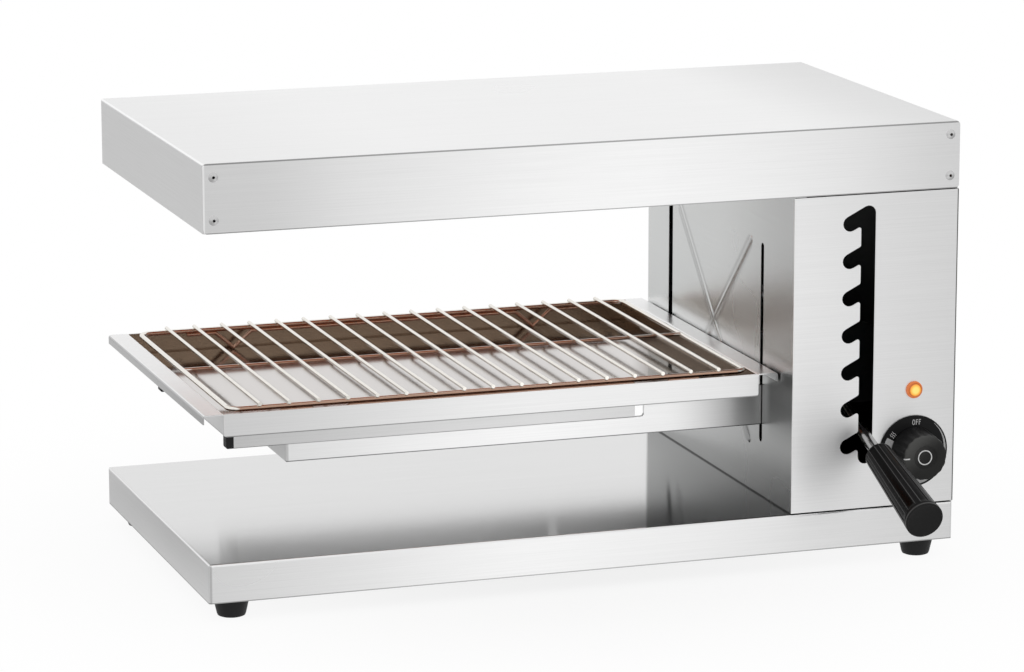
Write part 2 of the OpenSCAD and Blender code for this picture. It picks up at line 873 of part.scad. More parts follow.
module lamp_body() {
    color("#2b2b2d")
    translate([knob_axis_x, front_y, knob_axis_z + lamp_rise]) rotate([-90, 0, 0]) {
        cylinder(d = lamp_hole_d - 2 * fit_gap, h = 22);
        translate([0, 0, sheet_t + seat_gap]) cylinder(d = lamp_d + 2, h = 3.5, $fn = 6);
        for (x = [-2.2, 2.2]) translate([x - 0.4, -1.5, 22 - eps]) cube([0.8, 3, 6]);
    }
}

// A ring bezel with a shallow domed lens
module lamp_lens() {
    color("#f59a2a")
    translate([knob_axis_x, front_y, knob_axis_z + lamp_rise]) rotate([90, 0, 0])
        rotate_extrude() {
            square([lamp_d / 2, 1]);
            intersection() {
                translate([0, 2.6 - lamp_d]) circle(lamp_d, $fn = 64);
                square([lamp_d * 0.4, 3]);
            }
            translate([lamp_d * 0.4, 1 - eps]) square([lamp_d * 0.07, 0.8]);
        }
}

regulator_w = 38;
regulator_h = 40;
regulator_depth = 32;
bushing_d = shaft_d + 3;
nut_h = 2.5;
shaft_depth = 18;

module energy_regulator() {
    y0 = front_y + sheet_t;
    color("#e4ddcb")
    translate([knob_axis_x, y0, knob_axis_z])
    difference() {
        union() {
            translate([-regulator_w / 2, 3, -regulator_h / 2])
                cube([regulator_w, regulator_depth, regulator_h]);
            rotate([-90, 0, 0]) cylinder(d = shaft_d + 7, h = 3 + eps);
            rotate([90, 0, 0]) cylinder(d = bushing_d, h = sheet_t + dial_t + nut_h);
            for (x = [-12, -4, 4, 12], z = [-12, 12])
                translate([x - 0.4, 3 + regulator_depth - eps, z - 3]) cube([0.8, 8, 6]);
        }
        translate([0, shaft_depth + seat_gap, 0]) rotate([90, 0, 0])
            cylinder(d = shaft_d + 2 * run_gap, h = 2 * shaft_depth);
    }
}

module regulator_nut() {
    color("#b9bcc0")
    translate([knob_axis_x, front_y - dial_t, knob_axis_z]) rotate([90, 0, 0]) difference() {
        cylinder(d = bushing_d + 5, h = nut_h, $fn = 6);
        translate([0, 0, -1]) cylinder(d = bushing_d + 2 * fit_gap, h = nut_h + 2);
    }
}

// The printed dial: a thin disc with a bevelled edge and a raised rim
module control_dial() {
    color("#1d1d1f")
    translate([knob_axis_x, front_y, knob_axis_z]) rotate([90, 0, 0]) rotate_extrude() {
        translate([shaft_d / 2 + 2, 0]) square([dial_d / 2 - shaft_d / 2 - 2.8, dial_t]);
        translate([dial_d / 2 - 1.3, 0]) square([1.3, dial_t - 0.4]);
    }
}

module regulator_shaft() {
    color("#c9cacc")
    translate([knob_axis_x, front_y + sheet_t + shaft_depth, knob_axis_z]) rotate([90, 0, 0])
    difference() {
        cylinder(d = shaft_d, h = shaft_len);
        translate([shaft_d * 0.25, -shaft_d, shaft_len - 9]) cube([shaft_d, 2 * shaft_d, 10]);
    }
}

knob_back = dial_t + 3;
shaft_len = shaft_depth + sheet_t + knob_back + knob_h * 0.6;

// Knob: a skirt round the nut, a fluted taper and a dished face, pointer to the left
module knob() {
    r = knob_d / 2;
    skirt = knob_back - dial_t - 0.5;
    drop = 1.4;
    rise = knob_h - 1.2;
    flute_r = 2.6;
    flute_deep = 0.8;
    color("#1f1f21")
    translate([knob_axis_x, front_y - knob_back, knob_axis_z]) rotate([90, 0, 0])
    difference() {
        rotate_extrude() difference() {
            polygon([
                [0, -skirt], [r, -skirt], [r, 0], [r - drop, rise], [r - drop - 1.2, knob_h],
                [r * 0.48, knob_h], [r * 0.44, knob_h - 1], [0, knob_h - 1]
            ]);
            translate([-1, -skirt - 1]) square([1 + shaft_d / 2 + 6, skirt + 1 + seat_gap]);
        }
        for (i = [0:knob_flutes - 1]) rotate(i * 360 / knob_flutes + 180 / knob_flutes)
            translate([r + flute_r - flute_deep, 0, 2]) rotate([0, -atan(drop / rise), 0])
            cylinder(r = flute_r, h = knob_h);
        translate([0, 0, -skirt - 1]) cylinder(d = shaft_d + 2 * fit_gap, h = knob_h * 0.6 + skirt + 1.2);
        translate([-r - 1, -0.5, knob_h - 3.2]) cube([4.8, 1, 4]);
    }
}

module knob_cap() {
    color("#303033")
    translate([knob_axis_x, front_y - knob_back - knob_h + 1, knob_axis_z]) rotate([90, 0, 0])
        rotate_extrude() {
            square([knob_d * 0.16, 0.7]);
            translate([knob_d * 0.14, 0]) square([0.8, 1]);
        }
}

module terminal_block() {
    w = 40;
    h = 18;
    depth = 16;
    x0 = gland_x - w / 2;
    z0 = gland_z + 22;
    color("#e9e6dc")
    translate([x0, back_y - sheet_t - depth, z0]) difference() {
        union() {
            cube([w, depth, h]);
            for (i = [0:3]) translate([i * w / 4 + 0.8, -3, 1]) cube([w / 4 - 1.6, 3 + eps, h - 2]);
        }
        for (i = [0:3], z = [h * 0.28, h * 0.72])
            translate([(i + 0.5) * w / 4, -4, z]) rotate([-90, 0, 0]) cylinder(d = 4.2, h = 9);
    }
}

// A strain-relief gland: hexagon outside, thread through the panel, lock nut inside
module cable_gland() {
    color("#242427")
    translate([gland_x, back_y, gland_z]) difference() {
        union() {
            rotate([-90, 0, 0]) cylinder(d = gland_d + 8, h = 5, $fn = 6);
            rotate([-90, 0, 0]) translate([0, 0, 5 - eps])
                cylinder(d1 = gland_d + 4, d2 = gland_d - 3, h = 12);
            translate([0, -sheet_t - 9, 0]) rotate([-90, 0, 0]) cylinder(d = gland_d, h = sheet_t + 9 + eps);
            translate([0, -sheet_t - 4.5, 0]) rotate([-90, 0, 0]) cylinder(d = gland_d + 7, h = 4.5, $fn = 6);
        }
        translate([0, -40, 0]) rotate([-90, 0, 0]) cylinder(d = 8, h = 80);
    }
}

// ---- Lever ----

// The lever's frame: origin on the pivot, rod towards -Y
module lever_frame() {
    translate([channel_x, pivot_y, pivot_z]) rotate([rest_pitch, 0, 0]) children();
}

// The same, rolled so that the swivel pin stands along Z
module latch_frame() {
    lever_frame() rotate([0, -latch_roll, 0]) children();
}

// A cylinder along -Y, from y0 to y1 away from the origin
module along_rod(y0, y1, d) {
    translate([0, -y0, 0]) rotate([90, 0, 0]) cylinder(d = d, h = y1 - y0);
}

eye_r = 9;
eye_h = 13.4;
prong_t = 3;
yoke_w = 25;
yoke_r = 9.5;

module lever_yoke() {
    color("#8f9295")
    difference() {
        union() {
            lever_frame() rotate([0, 90, 0]) cylinder(r = yoke_r, h = yoke_w, center = true);
            latch_frame() for (s = [-1, 1])
                translate([0, 0, s * (eye_h / 2 + seat_gap + prong_t / 2)]) {
                    translate([0, -swivel_offset, 0]) cylinder(r = eye_r - 1, h = prong_t, center = true);
                    translate([-eye_r + 1, -swivel_offset, -prong_t / 2])
                        cube([2 * eye_r - 2, swivel_offset, prong_t]);
                }
        }
        lever_frame() rotate([0, 90, 0])
            cylinder(d = pivot_pin_d + 2 * run_gap, h = yoke_w + 20, center = true);
        latch_frame() translate([0, -swivel_offset, 0])
            cylinder(d = swivel_pin_d + 2 * fit_gap, h = 60, center = true);
    }
}

module swivel_pin() {
    reach = eye_h / 2 + seat_gap + prong_t + 1;
    color("#d9dadc")
    latch_frame() translate([0, -swivel_offset, 0]) {
        cylinder(d = swivel_pin_d, h = 2 * reach, center = true);
        translate([0, 0, reach - eps]) cylinder(d = swivel_pin_d + 3, h = 1.6);
    }
}

module lever_rod() {
    color("#c2c4c6")
    latch_frame() difference() {
        union() {
            translate([0, -swivel_offset, 0]) cylinder(r = eye_r, h = eye_h, center = true);
            along_rod(swivel_offset + eye_r - 3, grip_to - 4, rod_d);
        }
        translate([0, -swivel_offset, 0])
            cylinder(d = swivel_pin_d + 2 * run_gap, h = 40, center = true);
    }
}

module lever_grip() {
    taper = atan((grip_d2 - grip_d1) / 2 / grip_len);
    color("#1b1b1d")
    latch_frame() translate([0, -grip_from, 0]) rotate([90, 0, 0])
    difference() {
        rotate_extrude() difference() {
            polygon([
                [0, 0], [grip_d1 / 2 - 2, 0], [grip_d1 / 2, 2], [grip_d2 / 2, grip_len], [0, grip_len]
            ]);
            square([rod_d / 2 + fit_gap, grip_len + 1]);
        }
        for (i = [0:grip_grooves - 1]) rotate((i + 0.5) * 360 / grip_grooves)
            translate([grip_d1 / 2 + 0.7, 0, 0]) rotate([0, taper, 0])
            cylinder(d = 3, h = grip_len - 5);
    }
}

// The end cap: a flat disc with a raised rim
module grip_cap() {
    r = grip_d2 / 2;
    color("#29292b")
    latch_frame() translate([0, -grip_to, 0]) rotate([90, 0, 0]) rotate_extrude()
        polygon([
            [0, 0], [r, 0], [r, grip_cap_t - 1.2], [r - 1.2, grip_cap_t], [r - 2.2, grip_cap_t],
            [r - 2.8, grip_cap_t - 0.5], [0, grip_cap_t - 0.5]
        ]);
}

// ---- Carriage ----

module carriage_plate() {
    y0 = arm_front_y + arm_t / 2;
    y1 = arm_rear_y - arm_t / 2;
    hole_w = (y1 - y0) * 0.16;
    color("#b0b3b6")
    translate([plate_x, 0, 0]) rotate([90, 0, 90]) linear_extrude(plate_t) difference() {
        translate([y0, plate_low_z]) square([y1 - y0, plate_h]);
        for (share = [0.42, 0.64])
            translate([y0 + share * (y1 - y0), plate_low_z + plate_h * 0.3])
                round_rect(hole_w, plate_h * 0.4, plate_window_r);
    }
}

window_gap = 1.5;
window_r = 4;
window_up = rod_d / 2 / cos(rest_pitch) + plate_t / 2 * tan(rest_pitch) + window_gap;
window_down = window_up + notch_drop * saddle_depth / pivot_depth;
window_left = notch_reach * saddle_depth / pivot_depth + rod_d / 2 + window_gap;
window_right = rod_d / 2 + window_gap;
saddle_w = 112;
saddle_top_r = 26;
saddle_below = 34;
saddle_flange_w = 18;
plate_window_r = 8;

// The upright plate that the lever rod lifts: the rod passes through its window
module lever_saddle() {
    x0 = plate_right_x;
    low = saddle_rod_z - saddle_below;
    high = plate_low_z + plate_h;
    color("#9b9ea1") {
        translate([x0, saddle_y + plate_t / 2, low]) rotate([90, 0, 0])
            linear_extrude(plate_t) difference() {
                arch_rect(saddle_w, high - low, saddle_top_r);
                translate([channel_x - x0 - window_left, saddle_rod_z - low - window_down])
                    round_rect(window_left + window_right, window_up + window_down, window_r);
            }
        translate([x0, saddle_y, low]) cube([plate_t, saddle_flange_w, high - low - saddle_top_r]);
    }
}

// Two blocks on one guide rod, with their bores
module sliders(y) {
    left = plate_right_x;
    w = guide_x + slider_w / 2 - left;
    color("#d8d3c4")
    for (z = [slider_low_z, plate_low_z + plate_h - slider_h - slider_inset])
        difference() {
            translate([left, y - slider_w / 2, z]) cube([w, slider_w, slider_h]);
            translate([guide_x, y, z - 1]) cylinder(d = guide_d + 2 * run_gap, h = slider_h + 2);
        }
}

module sliders_front() sliders(guide_ys[0]);
module sliders_rear() sliders(guide_ys[1]);

step_r = 2.5;
crossbar_tab = 14;

// A fork arm: full height at the column, stepped down under the runner
module arm(y) {
    color("#cfd0d1")
    translate([0, y + arm_t / 2, 0]) rotate([90, 0, 0]) linear_extrude(arm_t) {
        translate([fork_end_x, fork_z]) square([plate_right_x - fork_end_x, arm_step_h]);
        translate([step_x, step_z - eps]) square([plate_right_x - step_x, arm_h - arm_step_h + eps]);
        difference() {
            translate([step_x - step_r, step_z - eps]) square(step_r + eps);
            translate([step_x - step_r, step_z + step_r]) circle(step_r);
        }
    }
}

module arm_front_bar() arm(arm_front_y);
module arm_rear_bar() arm(arm_rear_y);

module fork_crossbar() {
    y0 = arm_front_y + arm_t / 2;
    y1 = arm_rear_y - arm_t / 2;
    color("#c6c8ca") {
        translate([fork_end_x, y0, fork_z]) cube([arm_t, y1 - y0, arm_step_h]);
        for (y = [y0, y1 - arm_t])
            translate([fork_end_x, y, fork_z]) cube([crossbar_tab, arm_t, arm_step_h]);
    }
}

// ---- Drip pan ----

// The pan's section: a well with round bends and a flange with a lip on each side
module pan_section_2d() {
    side = pan_w / 2;
    outer_r = pan_bend_r + pan_t;
    mid = pan_h / 2;
    intersection() {
        difference() {
            translate([-side, 0]) round_rect(pan_w, 2 * pan_h, outer_r);
            translate([pan_t - side, pan_t]) round_rect(pan_w - 2 * pan_t, 2 * pan_h, pan_bend_r);
        }
        translate([-side, 0]) square([pan_w, mid + eps]);
    }
    for (flip = [0, 1]) mirror([flip, 0]) intersection() {
        difference() {
            translate([side - pan_t, -pan_h]) round_rect(flange_w + pan_t, 2 * pan_h, outer_r);
            translate([side, -pan_h]) round_rect(flange_w - pan_t, 2 * pan_h - pan_t, pan_bend_r);
            translate([side, -pan_h]) square([flange_w, 2 * pan_h - lip_h]);
        }
        translate([side - pan_t, mid]) square([flange_w + pan_t, pan_h]);
    }
}

module drip_pan() {
    half_t = pan_t / 2;
    color("#cdced0")
    translate([grate_mid_x, pan_front_y, pan_z]) {
        translate([0, pan_d, 0]) rotate([90, 0, 0]) linear_extrude(pan_d) pan_section_2d();
        for (y = [pan_t, pan_d]) translate([0, y, 0]) rotate([90, 0, 0]) linear_extrude(pan_t)
            intersection() {
                translate([half_t - pan_w / 2, half_t])
                    round_rect(pan_w - pan_t, 2 * pan_h, pan_bend_r + half_t);
                translate([-pan_w / 2, 0]) square([pan_w, pan_h - pan_rim_drop]);
            }
    }
}

runner_r = 1.2;
plug_r = 1.9;
plug_grip = 8;

// A hollow runner under the pan, resting on the low part of an arm
module runner(y) {
    color("#c2c4c6")
    translate([runner_x, y - runner_w / 2, runner_z]) rotate([90, 0, 90]) linear_extrude(runner_len)
        difference() {
            round_rect(runner_w, runner_h, runner_r);
            translate([runner_t, runner_t])
                square([runner_w - 2 * runner_t, runner_h - 2 * runner_t]);
        }
}

module runner_front() runner(arm_front_y);
module runner_rear() runner(arm_rear_y);

module runner_plugs() {
    color("#1c1c1e")
    for (y = [arm_front_y, arm_rear_y]) {
        translate([runner_x - plug_len, y - runner_w / 2, runner_z]) intersection() {
            rotate([90, 0, 90]) linear_extrude(plug_len) round_rect(runner_w, runner_h, runner_r);
            translate([0, runner_w, 0]) rotate([90, 0, 0]) linear_extrude(runner_w)
                union() {
                    round_rect(plug_len, runner_h, plug_r);
                    translate([plug_len / 2, 0]) square([plug_len / 2, runner_h]);
                }
        }
        translate([runner_x - eps, y - runner_w / 2 + runner_t + fit_gap, runner_z + runner_t + fit_gap])
            cube([plug_grip, runner_w - 2 * (runner_t + fit_gap), runner_h - 2 * (runner_t + fit_gap)]);
    }
}

// ---- Grate ----

weld = 0.4;
wire_over = 2;
joint_d = foot_wire_d + 0.1;
foot_rise = foot_wire_d / 2 + frame_wire_d / 2 - weld;

// A wire through the points (x, z), with a ball at each bend
module bent_wire(points) {
    for (i = [0:len(points) - 2]) {
        run = points[i + 1] - points[i];
        translate([points[i][0], 0, points[i][1]]) rotate([0, 90 - atan2(run[1], run[0]), 0])
            cylinder(d = foot_wire_d, h = norm(run));
    }
    for (i = [1:len(points) - 2])
        translate([points[i][0], 0, points[i][1]]) sphere(d = joint_d);
}

// The grate: cross wires on a frame wire, and a dipped foot wire below its front and rear
module wire_grate() {
    hw = grate_w / 2 - frame_wire_d / 2;
    hd = grate_d / 2 - frame_wire_d / 2;
    r = grate_corner_r;
    pitch = 2 * hw / (cross_wires + 1);
    top = frame_wire_d / 2 + cross_wire_d / 2 - weld;
    dip_z = seat_gap + joint_d / 2 - grate_rise;
    dip_x = grate_w / 2 - dip_inset;
    end_x = grate_w / 2 - foot_wire_inset;
    color("#d3cfc6")
    translate([grate_mid_x, pan_mid_y, grate_z]) {
        for (s = [-1, 1]) {
            translate([0, s * hd, 0]) run_x(-hw + r, hw - r, frame_wire_d);
            translate([s * hw, 0, 0]) rotate([90, 0, 0])
                cylinder(d = frame_wire_d, h = 2 * (hd - r), center = true);
            translate([0, s * hd, 0]) bent_wire([
                [-end_x, -foot_rise],
                [-dip_x - dip_half_w, -foot_rise], [-dip_x, dip_z], [-dip_x + dip_half_w, -foot_rise],
                [dip_x - dip_half_w, -foot_rise], [dip_x, dip_z], [dip_x + dip_half_w, -foot_rise],
                [end_x, -foot_rise]
            ]);
        }
        for (a = [0:3]) {
            sx = (a == 0 || a == 3) ? 1 : -1;
            sy = a < 2 ? 1 : -1;
            translate([sx * (hw - r), sy * (hd - r), 0]) rotate(a * 90)
                rotate_extrude(angle = 90) translate([r, 0]) circle(frame_wire_d / 2);
        }
        translate([0, 0, top - cross_wire_d + weld]) run_x(-hw, hw, cross_wire_d);
        for (i = [1:cross_wires])
            translate([-hw + i * pitch, 0, top]) rotate([90, 0, 0])
                cylinder(d = cross_wire_d, h = 2 * (hd + wire_over), center = true);
    }
}

base_shell();
foot_front_left();
foot_front_right();
foot_rear_left();
foot_rear_right();
foot_screws();
hood_shell();
hood_front_panel();
hood_rivets();
hood_reflector();
element_front();
element_rear();
element_hangers();
terminal_plate();
element_terminals();
column_inner_wall();
column_front_panel();
column_side_panel();
column_rear_panel();
side_rivets();
rear_screws();
guide_rod_front();
guide_rod_rear();
guide_bracket_lower();
guide_bracket_upper();
buffer_front();
buffer_rear();
lever_bracket();
lever_pivot_pin();
lamp_body();
lamp_lens();
energy_regulator();
regulator_nut();
control_dial();
terminal_block();
cable_gland();
lever_yoke();
swivel_pin();
lever_rod();
lever_grip();
grip_cap();
carriage_plate();
lever_saddle();
sliders_front();
sliders_rear();
arm_front_bar();
arm_rear_bar();
fork_crossbar();
drip_pan();
runner_front();
runner_rear();
runner_plugs();
wire_grate();
regulator_shaft();
knob();
knob_cap();
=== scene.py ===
"""Cheese melter: finishes, small pieces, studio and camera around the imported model."""

import functools
import json
import math

import bpy
import numpy as np
from bpy.props import FloatProperty, FloatVectorProperty, IntProperty, PointerProperty
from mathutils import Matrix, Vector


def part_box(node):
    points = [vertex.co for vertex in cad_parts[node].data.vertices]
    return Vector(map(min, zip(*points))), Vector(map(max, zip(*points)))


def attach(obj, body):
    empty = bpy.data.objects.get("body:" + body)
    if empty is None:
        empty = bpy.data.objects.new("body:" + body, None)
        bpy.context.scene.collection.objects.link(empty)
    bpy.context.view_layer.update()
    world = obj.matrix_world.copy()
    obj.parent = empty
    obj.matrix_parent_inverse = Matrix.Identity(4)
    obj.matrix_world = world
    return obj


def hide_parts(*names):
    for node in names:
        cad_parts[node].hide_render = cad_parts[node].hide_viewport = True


bl_info = {
    "name": "Cheese Melter",
    "version": (1, 0, 0),
    "blender": (4, 5, 0),
    "location": "View3D > Sidebar > Melter",
    "description": "Dresses a bench-top cheese melter with its finishes, grip, knob, dial, lamp and studio",
    "category": "Object",
}

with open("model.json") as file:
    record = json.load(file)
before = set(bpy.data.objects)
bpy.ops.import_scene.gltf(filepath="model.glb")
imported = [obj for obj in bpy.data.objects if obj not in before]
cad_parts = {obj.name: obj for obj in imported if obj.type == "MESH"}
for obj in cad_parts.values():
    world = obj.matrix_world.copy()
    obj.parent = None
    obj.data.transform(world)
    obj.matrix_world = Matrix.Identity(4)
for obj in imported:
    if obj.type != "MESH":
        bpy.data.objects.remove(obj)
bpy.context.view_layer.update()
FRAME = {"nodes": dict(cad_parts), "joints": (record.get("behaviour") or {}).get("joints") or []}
NODES = FRAME["nodes"]
JOINTS = {joint["name"]: joint for joint in FRAME["joints"]}
MM = 0.001


# ---- Measuring the frame ----

def node_points(name):
    """All vertices of a frame node as an array of rows x, y, z, in metres."""
    mesh = NODES[name].data
    flat = np.empty(len(mesh.vertices) * 3)
    mesh.vertices.foreach_get("co", flat)
    return flat.reshape(-1, 3)


PIVOT = np.array(JOINTS["lever_lift"]["pos_m"])
SWIVEL = np.array(JOINTS["lever_latch"]["pos_m"])
ROD_AXIS = (SWIVEL - PIVOT) / np.linalg.norm(SWIVEL - PIVOT)
KNOB_CENTRE = np.array(JOINTS["knob_turn"]["pos_m"])


def reach_along_rod(name):
    """Nearest and farthest distance of a node from the pivot, along the rod, and its largest radius."""
    offset = node_points(name) - PIVOT
    along = offset @ ROD_AXIS
    radius = np.linalg.norm(offset - np.outer(along, ROD_AXIS), axis=1)
    return along.min(), along.max(), radius.max()


def half_width(name):
    """Half of a node's size along X, in metres."""
    low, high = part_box(name)
    return (high[0] - low[0]) / 2


GRIP_NEAR, _, GRIP_RADIUS = reach_along_rod("lever_grip")
_, CAP_FAR, _ = reach_along_rod("grip_cap")


# ---- Painted shade on the sheets ----

# Each row paints shade: the share of the colour that is left, then the sides of the node's box that bound the
# place, each with the two distances in from it, in millimetres, between which the painted shade sets in.
# "middle" counts to the right from x = 0.
# Painted shade towards the hood's right and left, and on its left end.
HOOD_PAINTED_SHADE = (
    (0.82, ("middle", 150, 300)),
    (0.95, ("middle", -120, -300)),
    (0.92, ("left", 0.9, 0.6)),
)
# Painted shade at the ends of the hood's front.
HOOD_FRONT_END_SHADE = ((0.92, ("middle", 200, 300)), (0.9, ("middle", -170, -270)))
# Painted shadow along the top and bottom seams of the hood's front.
HOOD_FRONT_SEAM_SHADOW = ((0.42, ("top", 1.2, 0.8)), (0.45, ("bottom", 0.9, 0.6)))
BASE_TOP = ("top", 0.6, 0.3)
# Painted shade on the base's top, the right of its front, a line at its front left corner, its bottom edge
# and the front of its left end.
BASE_PAINTED_SHADE = (
    (0.81, BASE_TOP),
    (0.955, ("front", 0.6, 0.3), ("middle", -120, 80)),
    (0.7, ("front", 0.6, 0.3), ("left", 2.6, 2.0)),
    (0.5, ("bottom", 1.0, 0.6)),
    (0.91, ("left", 0.6, 0.3), ("front", 220, 60)),
)
# A painted shadow along the right edge of the column's front.
COLUMN_EDGE_SHADOW = ((0.15, ("right", 1.1, 0.7)),)
# Painted shade in a band near the front of the inner wall, and along its bottom.
WALL_PAINTED_SHADE = (
    (0.4, ("front", 55, 42), ("bottom", 45, 82), ("bottom", 113, 106)),
    (0.15, ("bottom", 1.4, 0.8)),
)
# Painted shade on the right part of the fork's arm, on its left end and along its bottom edge.
FORK_PAINTED_SHADE = (
    (0.4, ("middle", 80, 170)),
    (0.68, ("left", 2.2, 1.2)),
    (0.25, ("bottom", 0.9, 0.6)),
)
# Painted shade on the pan's front, darker along its lower front edge, and on its left lip.
PAN_PAINTED_SHADE = (
    (0.89, ("front", 0.8, 0.5)),
    (0.4, ("front", 0.8, 0.5), ("bottom", 0.9, 0.6)),
    (0.6, ("left", 0.9, 0.6)),
)

# A painted highlight along a sheet's left edge and along the hood's upper left bend.
LEFT_EDGE = ("left", 1.4, 1.0)
TOP_EDGE = ("top", 1.4, 1.0)
PAINTED_EDGE_HIGHLIGHT = (0.98, 0.98, 0.98)

# For each side of a box: its corner (0 low, 1 high), its axis and the sign of the way inwards.
SIDES = {"left": (0, 0, 1), "right": (1, 0, -1), "front": (0, 1, 1), "bottom": (0, 2, 1), "top": (1, 2, -1)}


# ---- Profiles of the turned pieces, in millimetres ----

# Rings of the grip near the gate: distance from its end, drop below its inner radius.
GRIP_FOOT = ((0, 6.2), (0, 2.2), (0.3, 1.2), (0.9, 0.5), (1.8, 0.1), (3.2, 0))
# Rings of the grip at its cap: distance back from its far end, drop below its outer radius.
GRIP_RIM = (
    (4.2, 0.1), (3.6, 0.15), (3.2, 0.3), (1.4, 0.1), (0.7, 0.1),
    (0.2, 0.3), (0, 0.8), (0, 1.5), (0.35, 1.9), (0.5, 2.3),
)
# Rings of the knob: distance from its back for a knob 22 mm tall, drop below its radius.
KNOB_TALL = 22
KNOB_RINGS = (
    (0, 0.7), (0.15, 0.2), (0.6, 0), (2.0, 0), (3.0, 0.1), (8.0, 0.5), (14.0, 1.0), (18.5, 1.3), (20.2, 1.45),
    (21.2, 1.8), (21.8, 2.5), (22.0, 3.4), (22.0, 9.2), (21.6, 9.8), (21.1, 10.2), (21.0, 10.8), (21.0, 13.0),
)
# Rings of the lens: distance from its back, and a drop below its radius or, for the dome, the radius.
LENS_COLLAR = ((0, 0.3), (0.2, 0), (0.8, 0), (1.5, 0.2), (1.8, 0.6), (1.8, 1.2), (1.5, 1.5))
LENS_DOME = ((1.2, 5.0), (1.5, 4.6), (1.9, 3.8), (2.2, 2.8), (2.4, 1.6), (2.5, 0.6))
# The dial's wedge: angle in degrees with its outer radius, and with its width.
WEDGE_OUTER = ((151, 25.6), (200, 26.4), (412, 27.3))
WEDGE_WIDTH = ((151, 7.4), (200, 7.5), (290, 3.6), (412, 0.25))


# ---- Surfaces ----

def mesh_object(name, surface, smooth=True):
    """A mesh object at the origin from a surface's points (n, 3) and rows of vertex numbers."""
    points, faces = surface
    mesh = bpy.data.meshes.new(name)
    mesh.from_pydata(points.tolist(), [], faces, shade_flat=not smooth)
    mesh.update()
    piece = bpy.data.objects.new(name, mesh)
    bpy.context.scene.collection.objects.link(piece)
    return piece


def grid_faces(rows, columns):
    """Quads of a grid of rows by columns whose last column joins its first."""
    row, column = np.meshgrid(np.arange(rows - 1), np.arange(columns), indexing="ij")
    right = (column + 1) % columns
    below, above = row * columns, (row + 1) * columns
    quads = np.stack([below + column, below + right, above + right, above + column], axis=-1)
    return quads.reshape(-1, 4)


def lathe(name, centre, axis, along, radius):
    """A closed body turned round an axis.

    Ring i lies along[i] from the centre. Its point at angle t is radius[i, t] away from the axis, so a
    radius that changes with t gives flutes. One vertex at each end closes the pole.
    """
    axis = np.asarray(axis, float) / np.linalg.norm(axis)
    side = np.cross(axis, (0.0, 0.0, 1.0))
    side /= np.linalg.norm(side)
    up = np.cross(side, axis)
    rows, count = radius.shape
    angle = full_turn(count)
    ring = np.cos(angle)[:, None] * side + np.sin(angle)[:, None] * up
    body = centre + along[:, None, None] * axis + radius[:, :, None] * ring
    points = np.vstack([body.reshape(-1, 3), centre + along[0] * axis, centre + along[-1] * axis])
    first, last = rows * count, rows * count + 1
    here = np.arange(count)
    beyond = (here + 1) % count
    base = (rows - 1) * count
    faces = grid_faces(rows, count).tolist()
    faces += np.stack([beyond, here, np.full(count, first)], axis=1).tolist()
    faces += np.stack([base + here, base + beyond, np.full(count, last)], axis=1).tolist()
    return mesh_object(name, (points, faces))


def full_turn(count):
    """Angles in equal steps once round, the last one short of the first."""
    return np.arange(count) * 2 * math.pi / count


def slab(left, right, normal, thickness):
    """Points and faces of a flat strip with a rectangular section.

    left and right are paths of the same length. The section at each step is the line from left to right,
    raised by the thickness along the normal, and both ends are closed.
    """
    rise = np.asarray(normal, float) * thickness
    section = np.stack([left, right, right + rise, left + rise], axis=1)
    last = 4 * len(left) - 4
    faces = grid_faces(len(left), 4).tolist()
    faces += [[3, 2, 1, 0], [last, last + 1, last + 2, last + 3]]
    return section.reshape(-1, 3), faces


def join_surfaces(surfaces):
    """One surface from several strips, with all their points and faces."""
    faces, start = [], 0
    for points, quads in surfaces:
        faces += (np.array(quads) + start).tolist()
        start += len(points)
    return np.vstack([points for points, _ in surfaces]), faces


def smooth_step(low, high, value):
    """0 below low, 1 above high and a smooth rise between."""
    share = np.clip((value - low) / (high - low), 0, 1)
    return share * share * (3 - 2 * share)


def plateau(value, start, full, waning, end):
    """0 to the start, 1 from full to waning and 0 past the end, with smooth steps between."""
    return smooth_step(start, full, value) * (1 - smooth_step(waning, end, value))


def ridge(value, middle, width):
    """1 where a value is at the middle, falling off as a bell curve on each side."""
    return np.exp(-(((value - middle) / width) ** 2))


# ---- Materials ----

# Noise mostly keeps between these two values, and a pattern runs from one to the other.
NOISE_LOW, NOISE_HIGH = 0.3, 0.7
# The brushed grain along and across its lines, and its clouds, in cycles per metre.
GRAIN_ALONG, GRAIN_ACROSS, GRAIN_CLOUDS = 9, 1100, 5
INSIDE_PAINTED_SHADE = (0.012, 0.013, 0.013)


def feed(tree, node, inputs):
    """Links or sets a node's inputs from {name or number: socket or value}."""
    for name, value in inputs.items():
        if isinstance(value, bpy.types.NodeSocket):
            tree.links.new(value, node.inputs[name])
        else:
            node.inputs[name].default_value = value


def new_node(tree, kind, inputs, **settings):
    """A shader node with its settings and its inputs."""
    node = tree.nodes.new("ShaderNode" + kind)
    for name, value in settings.items():
        setattr(node, name, value)
    feed(tree, node, inputs)
    return node


def node_group(name, inputs, outputs):
    """An empty shader node group with float inputs {name: default} and float outputs."""
    group = bpy.data.node_groups.new(name, "ShaderNodeTree")
    for label, default in inputs.items():
        socket = group.interface.new_socket(name=label, in_out="INPUT", socket_type="NodeSocketFloat")
        socket.default_value = default
    for label in outputs:
        group.interface.new_socket(name=label, in_out="OUTPUT", socket_type="NodeSocketFloat")
    return group, group.nodes.new("NodeGroupInput"), group.nodes.new("NodeGroupOutput")


def math_node(tree, operation, *values, kind="Math"):
    """A Math or VectorMath node on sockets or values; returns its output."""
    return new_node(tree, kind, dict(enumerate(values)), operation=operation).outputs[0]


def own_place(tree):
    """The piece's own coordinates."""
    return tree.nodes.new("ShaderNodeTexCoord").outputs["Object"]


